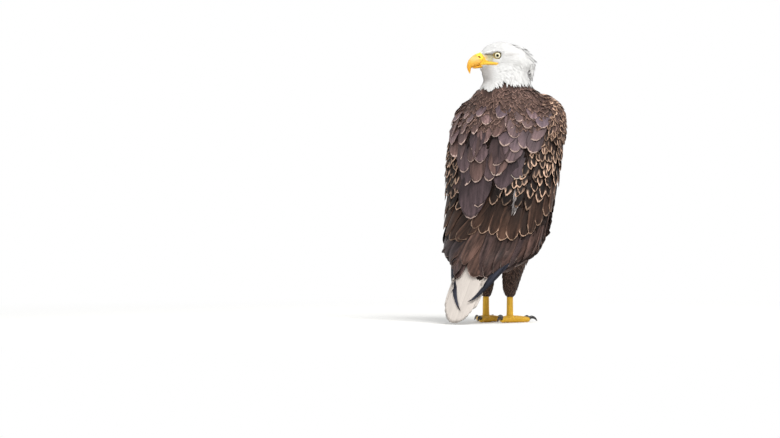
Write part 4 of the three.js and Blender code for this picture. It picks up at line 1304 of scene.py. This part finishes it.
# The ball: fine rings round the line of sight, closer in front, and the cornea's bulge in mm and degrees.
ballLook = {"front": 26, "rings": 40, "around": 64, "inset": 0.15, "bulge": 0.55, "bulgeReach": 34}
for name, side in sides.items():
    sight = unit(headLeft * side + headForward * math.tan(math.radians(eye["gazeAhead"])))
    right = unit(np.cross(sight, up))
    upward = np.cross(right, sight)
    tilt = np.concatenate([np.linspace(0.5, 50, ballLook["front"]),
                           np.linspace(55, 179.5, ballLook["rings"] - ballLook["front"])])
    turns = np.linspace(0, 2 * math.pi, ballLook["around"], endpoint=False)
    a, t = np.meshgrid(np.radians(tilt), turns, indexing="ij")
    cornea = ballLook["bulge"] * bump(np.degrees(a), 0, ballLook["bulgeReach"], 4)
    radius = eye["radius"] - ballLook["inset"] + cornea
    off = np.cos(t)[..., None] * right + np.sin(t)[..., None] * upward
    points = (headPoint(eye["ahead"], side * eye["out"], eye["up"])
              + mm * radius[..., None] * (np.cos(a)[..., None] * sight + np.sin(a)[..., None] * off))
    ends = [points[0].mean(0), points[-1].mean(0)]
    ball = meshObject(f"ball_{name}", np.concatenate([points.reshape(-1, 3), ends]),
                      [ringFaces(*a.shape), capFaces(*a.shape)], eyePaint)
    # the distance from the line of sight in mm, and far past the iris on the back half
    across = np.append(eye["radius"] * np.sin(a) * np.where(a < 1.57, 1, 9), [0, 99])
    turn = np.append(t, [0, 0])
    spin = np.stack([across, np.cos(turn), np.sin(turn)], -1).astype(np.float32)
    ball.data.attributes.new("gaze", "FLOAT_VECTOR", "POINT").data.foreach_set("vector", spin.ravel())
    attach(ball, "root")
    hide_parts(f"eye_{name}")

# Bill: translucent horn with a satin shine and faint growth lines along it.
hornPaint, tree, shader = newMaterial("yellow bill horn, satin", Roughness=0.32, Specular_IOR_Level=0.5,
                                      Subsurface_Weight=0.08, Subsurface_Radius=(0.004, 0.002, 0.001))
spot = add(tree, "ShaderNodeTexCoord").outputs["Object"]
streak = add(tree, "ShaderNodeMapping", None, Vector=spot, Rotation=(0, 0, -headTurn), Scale=(60, 160, 260))
grain = add(tree, "ShaderNodeTexNoise", None, Vector=streak, Scale=1.0, Detail=4.0)
tone = add(tree, "ShaderNodeMapRange", None, Value=grain, **span(0.3, 0.7, 0.9, 1.06))
base = add(tree, "ShaderNodeAttribute", {"attribute_name": "tint"}).outputs["Color"]
toned = add(tree, "ShaderNodeVectorMath", scaled, i0=base, Scale=tone)
tree.links.new(toned.outputs[0], shader.inputs["Base Color"])
grained = add(tree, "ShaderNodeBump", None, Height=grain, Strength=0.15, Distance=0.3 * mm)
tree.links.new(grained.outputs[0], shader.inputs["Normal"])

nostril = {"ahead": 71.5, "up": 5.8, "long": 4.8, "high": 2.7, "depth": 1.9, "slant": 0.35}
billLook = {"voxel": 0.75, "cereProud": 0.45, "groove": 0.35, "tone": 0.93}
cereEdge = np.array([[-14, 60], [-8, 62.5], [-2, 67.5], [6, 77], [16, 80.5]])  # height, how far ahead
for name in ("bill_upper", "bill_lower"):
    isUpper = name == "bill_upper"
    bill = remeshed(joined(f"{name}_horn", [nodes[name]]), billLook["voxel"] * mm, 4)
    points, normals = pointsOf(bill), normalsOf(bill)
    f, l, z = headPlace(points)
    cere = ease(read(cereEdge, z) - f, -0.8, 0.8)
    onward, rise = f - nostril["ahead"], z - nostril["up"]
    fromNostril = np.hypot(onward / nostril["long"], (rise - nostril["slant"] * onward) / nostril["high"])
    inNostril = (1 - ease(fromNostril, 0.45, 1.15)) * (np.abs(l) > 3) * isUpper
    edgeGroove = bump(z, -12.2 - 0.22 * (f - 66), 1.0) * ease(90 - f, 0, 6) * ease(f, 58, 66) * isUpper
    offset = billLook["cereProud"] * cere * (z > -18)
    offset -= nostril["depth"] * inNostril + billLook["groove"] * edgeGroove
    setPoints(bill, points + normals * (offset * mm)[:, None])
    gape = ease(60 - f, 0, 8) * ease(-z, 6, 12)
    horn = np.tile(rgb("#efb235"), (len(f), 1))
    for code, share in (
        # painted highlight: paler along the middle of the side
        ("#f8d08a", 0.75 * bump(z, 1, 8) * ease(f, 66, 76) * ease(104 - f, 0, 14)),  # pale along the side
        ("#eba50f", 0.8 * ease(-z, 12, 26)),  # deeper toward the hook
        ("#f6d58c", 0.7 * ease(-z, 33, 42)),  # its pale tip
        ("#fae23f", cere * ease(z, -8, 4)),
        ("#f5c72c", cere * ease(-z, -4, 8)),
        ("#f6c441", gape),
        ("#c98f3c", gape * ease(24 - f, 0, 7)),
        ("#8a3008", 1.3 * inNostril),
        ("#b07a10", 0.7 * edgeGroove),
        ("#d9a02a", 0.8 * ease(-z, 16, 22) * (not isUpper)),
    ):
        horn = painted(horn, code, share)
    setTint(bill, billLook["tone"] * horn)
    bill.data.materials.append(hornPaint)
    bill.data.polygons.foreach_set("use_smooth", np.ones(len(bill.data.polygons), bool))
    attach(bill, "root")
    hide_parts(name)

# Claws: smooth black horn that takes a sharp light. "stations" are the share of the claw's length, its height
# in mm and its thickness as a share of the root's.
clawPaint, tree, shader = newMaterial("black claw horn, polished", Roughness=0.28, Specular_IOR_Level=0.5)
spot = add(tree, "ShaderNodeTexCoord").outputs["Object"]
grain = add(tree, "ShaderNodeTexNoise", None, Vector=spot, Scale=160.0, Detail=3.0)
shade = add(tree, "ShaderNodeValToRGB", None, Fac=grain)
setStops(shade, [(0.3, "#141214"), (0.7, "#2b2725")])
tree.links.new(shade.outputs[0], shader.inputs["Base Color"])
claw = {"reach": 25, "from": -5, "roots": {"inner": 9.2, "middle": 8.8, "outer": 8.2, "hind": 9.6},
        "rings": 26, "around": 16, "wide": 0.9, "high": 1.12, "hollow": 0.25, "tip": 0.4,
        "stations": np.array([(0, 10.5, 0.60), (0.35, 14.8, 0.57), (0.72, 12.2, 0.40), (0.92, 6.6, 0.2),
                              (1.0, 3.4, 0.07)])}
for name, side in sides.items():
    shapes = []
    for toe, (degrees, length) in toes.items():
        a = math.radians(degrees)
        toward = np.array([side * math.sin(a), -math.cos(a), 0])
        share = np.linspace(0, 1, claw["rings"])
        rise, thick = read(claw["stations"], share, 1), read(claw["stations"], share, 2)
        rise = np.convolve(np.pad(rise, 3, mode="edge"), np.ones(7) / 7, "valid")
        rise -= claw["tip"] * (share > 0.9)
        reach = length + claw["from"] + claw["reach"] * share
        foot = np.array([side * ankle["out"], ankle["back"], 0])
        centres = bodyShift + (foot + toward * reach[:, None] + up * rise[:, None]) * mm
        tangent = unit(np.gradient(centres, axis=0))
        across = np.broadcast_to(unit(np.cross(toward, up)), centres.shape)
        upward = np.cross(across, tangent)
        half = (thick * claw["roots"][toe] * mm)[:, None]
        turns = np.linspace(0, 2 * math.pi, claw["around"], endpoint=False)
        flat = 1 - claw["hollow"] * (np.sin(turns) < -0.5)  # grooved underneath
        rings = (centres[:, None] + across[:, None] * (half * np.cos(turns) * claw["wide"])[..., None]
                 + upward[:, None] * (half * np.sin(turns) * claw["high"] * flat)[..., None])
        ends = [centres[0], centres[-1] + tangent[-1] * claw["tip"] * mm]
        shapes.append(meshObject("hook", np.concatenate([rings.reshape(-1, 3), ends]),
                                 [ringFaces(*rings.shape[:2])[:, [0, 3, 2, 1]],
                                  capFaces(*rings.shape[:2])[:, [0, 2, 1]]]))
    claws = joined(f"claws_{name}", shapes, remove=True)
    recalculated(claws)
    claws.data.materials.append(clawPaint)
    claws.data.polygons.foreach_set("use_smooth", np.ones(len(claws.data.polygons), bool))
    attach(claws, "root")
    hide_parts(*[n for n in nodes if n.startswith("claw_") and n.endswith(name)])
print("eyes, bill and claws are done")


# Each unwraps the shape under its feathers, so that neighbours lie side by side on the bake map.
unwrapRadius = {"body": 140, "head": 45, "neck": 60, "leg": 46}


def bodyUnwrap(points):
    return np.stack([np.radians(angleOf(points)[0]) * unwrapRadius["body"] * mm, points[:, 2]], -1)


def headUnwrap(points):
    f, l, z = headPlace(points)
    return np.stack([np.arctan2(l, z + 10) * unwrapRadius["head"] * mm, -f * mm], -1)


def neckUnwrap(points):
    f, l, z = headPlace(points)
    return np.stack([np.arctan2(l, f + 12) * unwrapRadius["neck"] * mm, z * mm], -1)


def legUnwrap(points):
    side = np.sign(points[:, 0])
    x, y = points[:, 0] - side * 50 * mm, points[:, 1] - bodyShift[1] - 33 * mm
    return np.stack([side * 0.16 + np.arctan2(x, y) * unwrapRadius["leg"] * mm, points[:, 2]], -1)


def tailUnwrap(points):
    return points[:, [0, 2]]


# What each piece of the coat is made of, its slot, its unwrap, and the nodes it stands in for besides.
finishes = {
    "plumage_face": (whiteCoat, "white_plumage", headUnwrap),
    "plumage_neck": (whiteCoat, "white_plumage", neckUnwrap),
    "plumage_mantle": (brownCoat, "brown_plumage", bodyUnwrap),
    "plumage_breast": (brownCoat, "brown_plumage", bodyUnwrap),
    "plumage_belly": (brownCoat, "brown_plumage", bodyUnwrap),
    "plumage_vent": (tailCoat, "cream_plumage", bodyUnwrap),
    "plumage_under": (brownCoat, "brown_plumage", bodyUnwrap),
    "plumage_thighs": (brownCoat, "brown_plumage", legUnwrap),
    "plumage_quills_left": (quillCoat, "dark_quills", bodyUnwrap, "wing_tip_left"),
    "plumage_wing_left": (wingCoat, "wing_plumage", bodyUnwrap),
    "plumage_quills_right": (quillCoat, "dark_quills", bodyUnwrap, "wing_tip_right"),
    "plumage_wing_right": (wingCoat, "wing_plumage", bodyUnwrap),
    "plumage_scapulars": (scapularCoat, "brown_plumage", bodyUnwrap),
    "plumage_tail": (tailCoat, "cream_plumage", tailUnwrap, "tail"),
}
whiteCalm = 0.72  # how far the white feathers shade as one smooth surface
for name, coat in coats.items():
    material, slot, unwrap, *replaced = finishes[name]
    coat.finish(material, slot, unwrap, whiteCalm if material is whiteCoat else 0.0, replaced)
print("coat pieces:", len(coats))
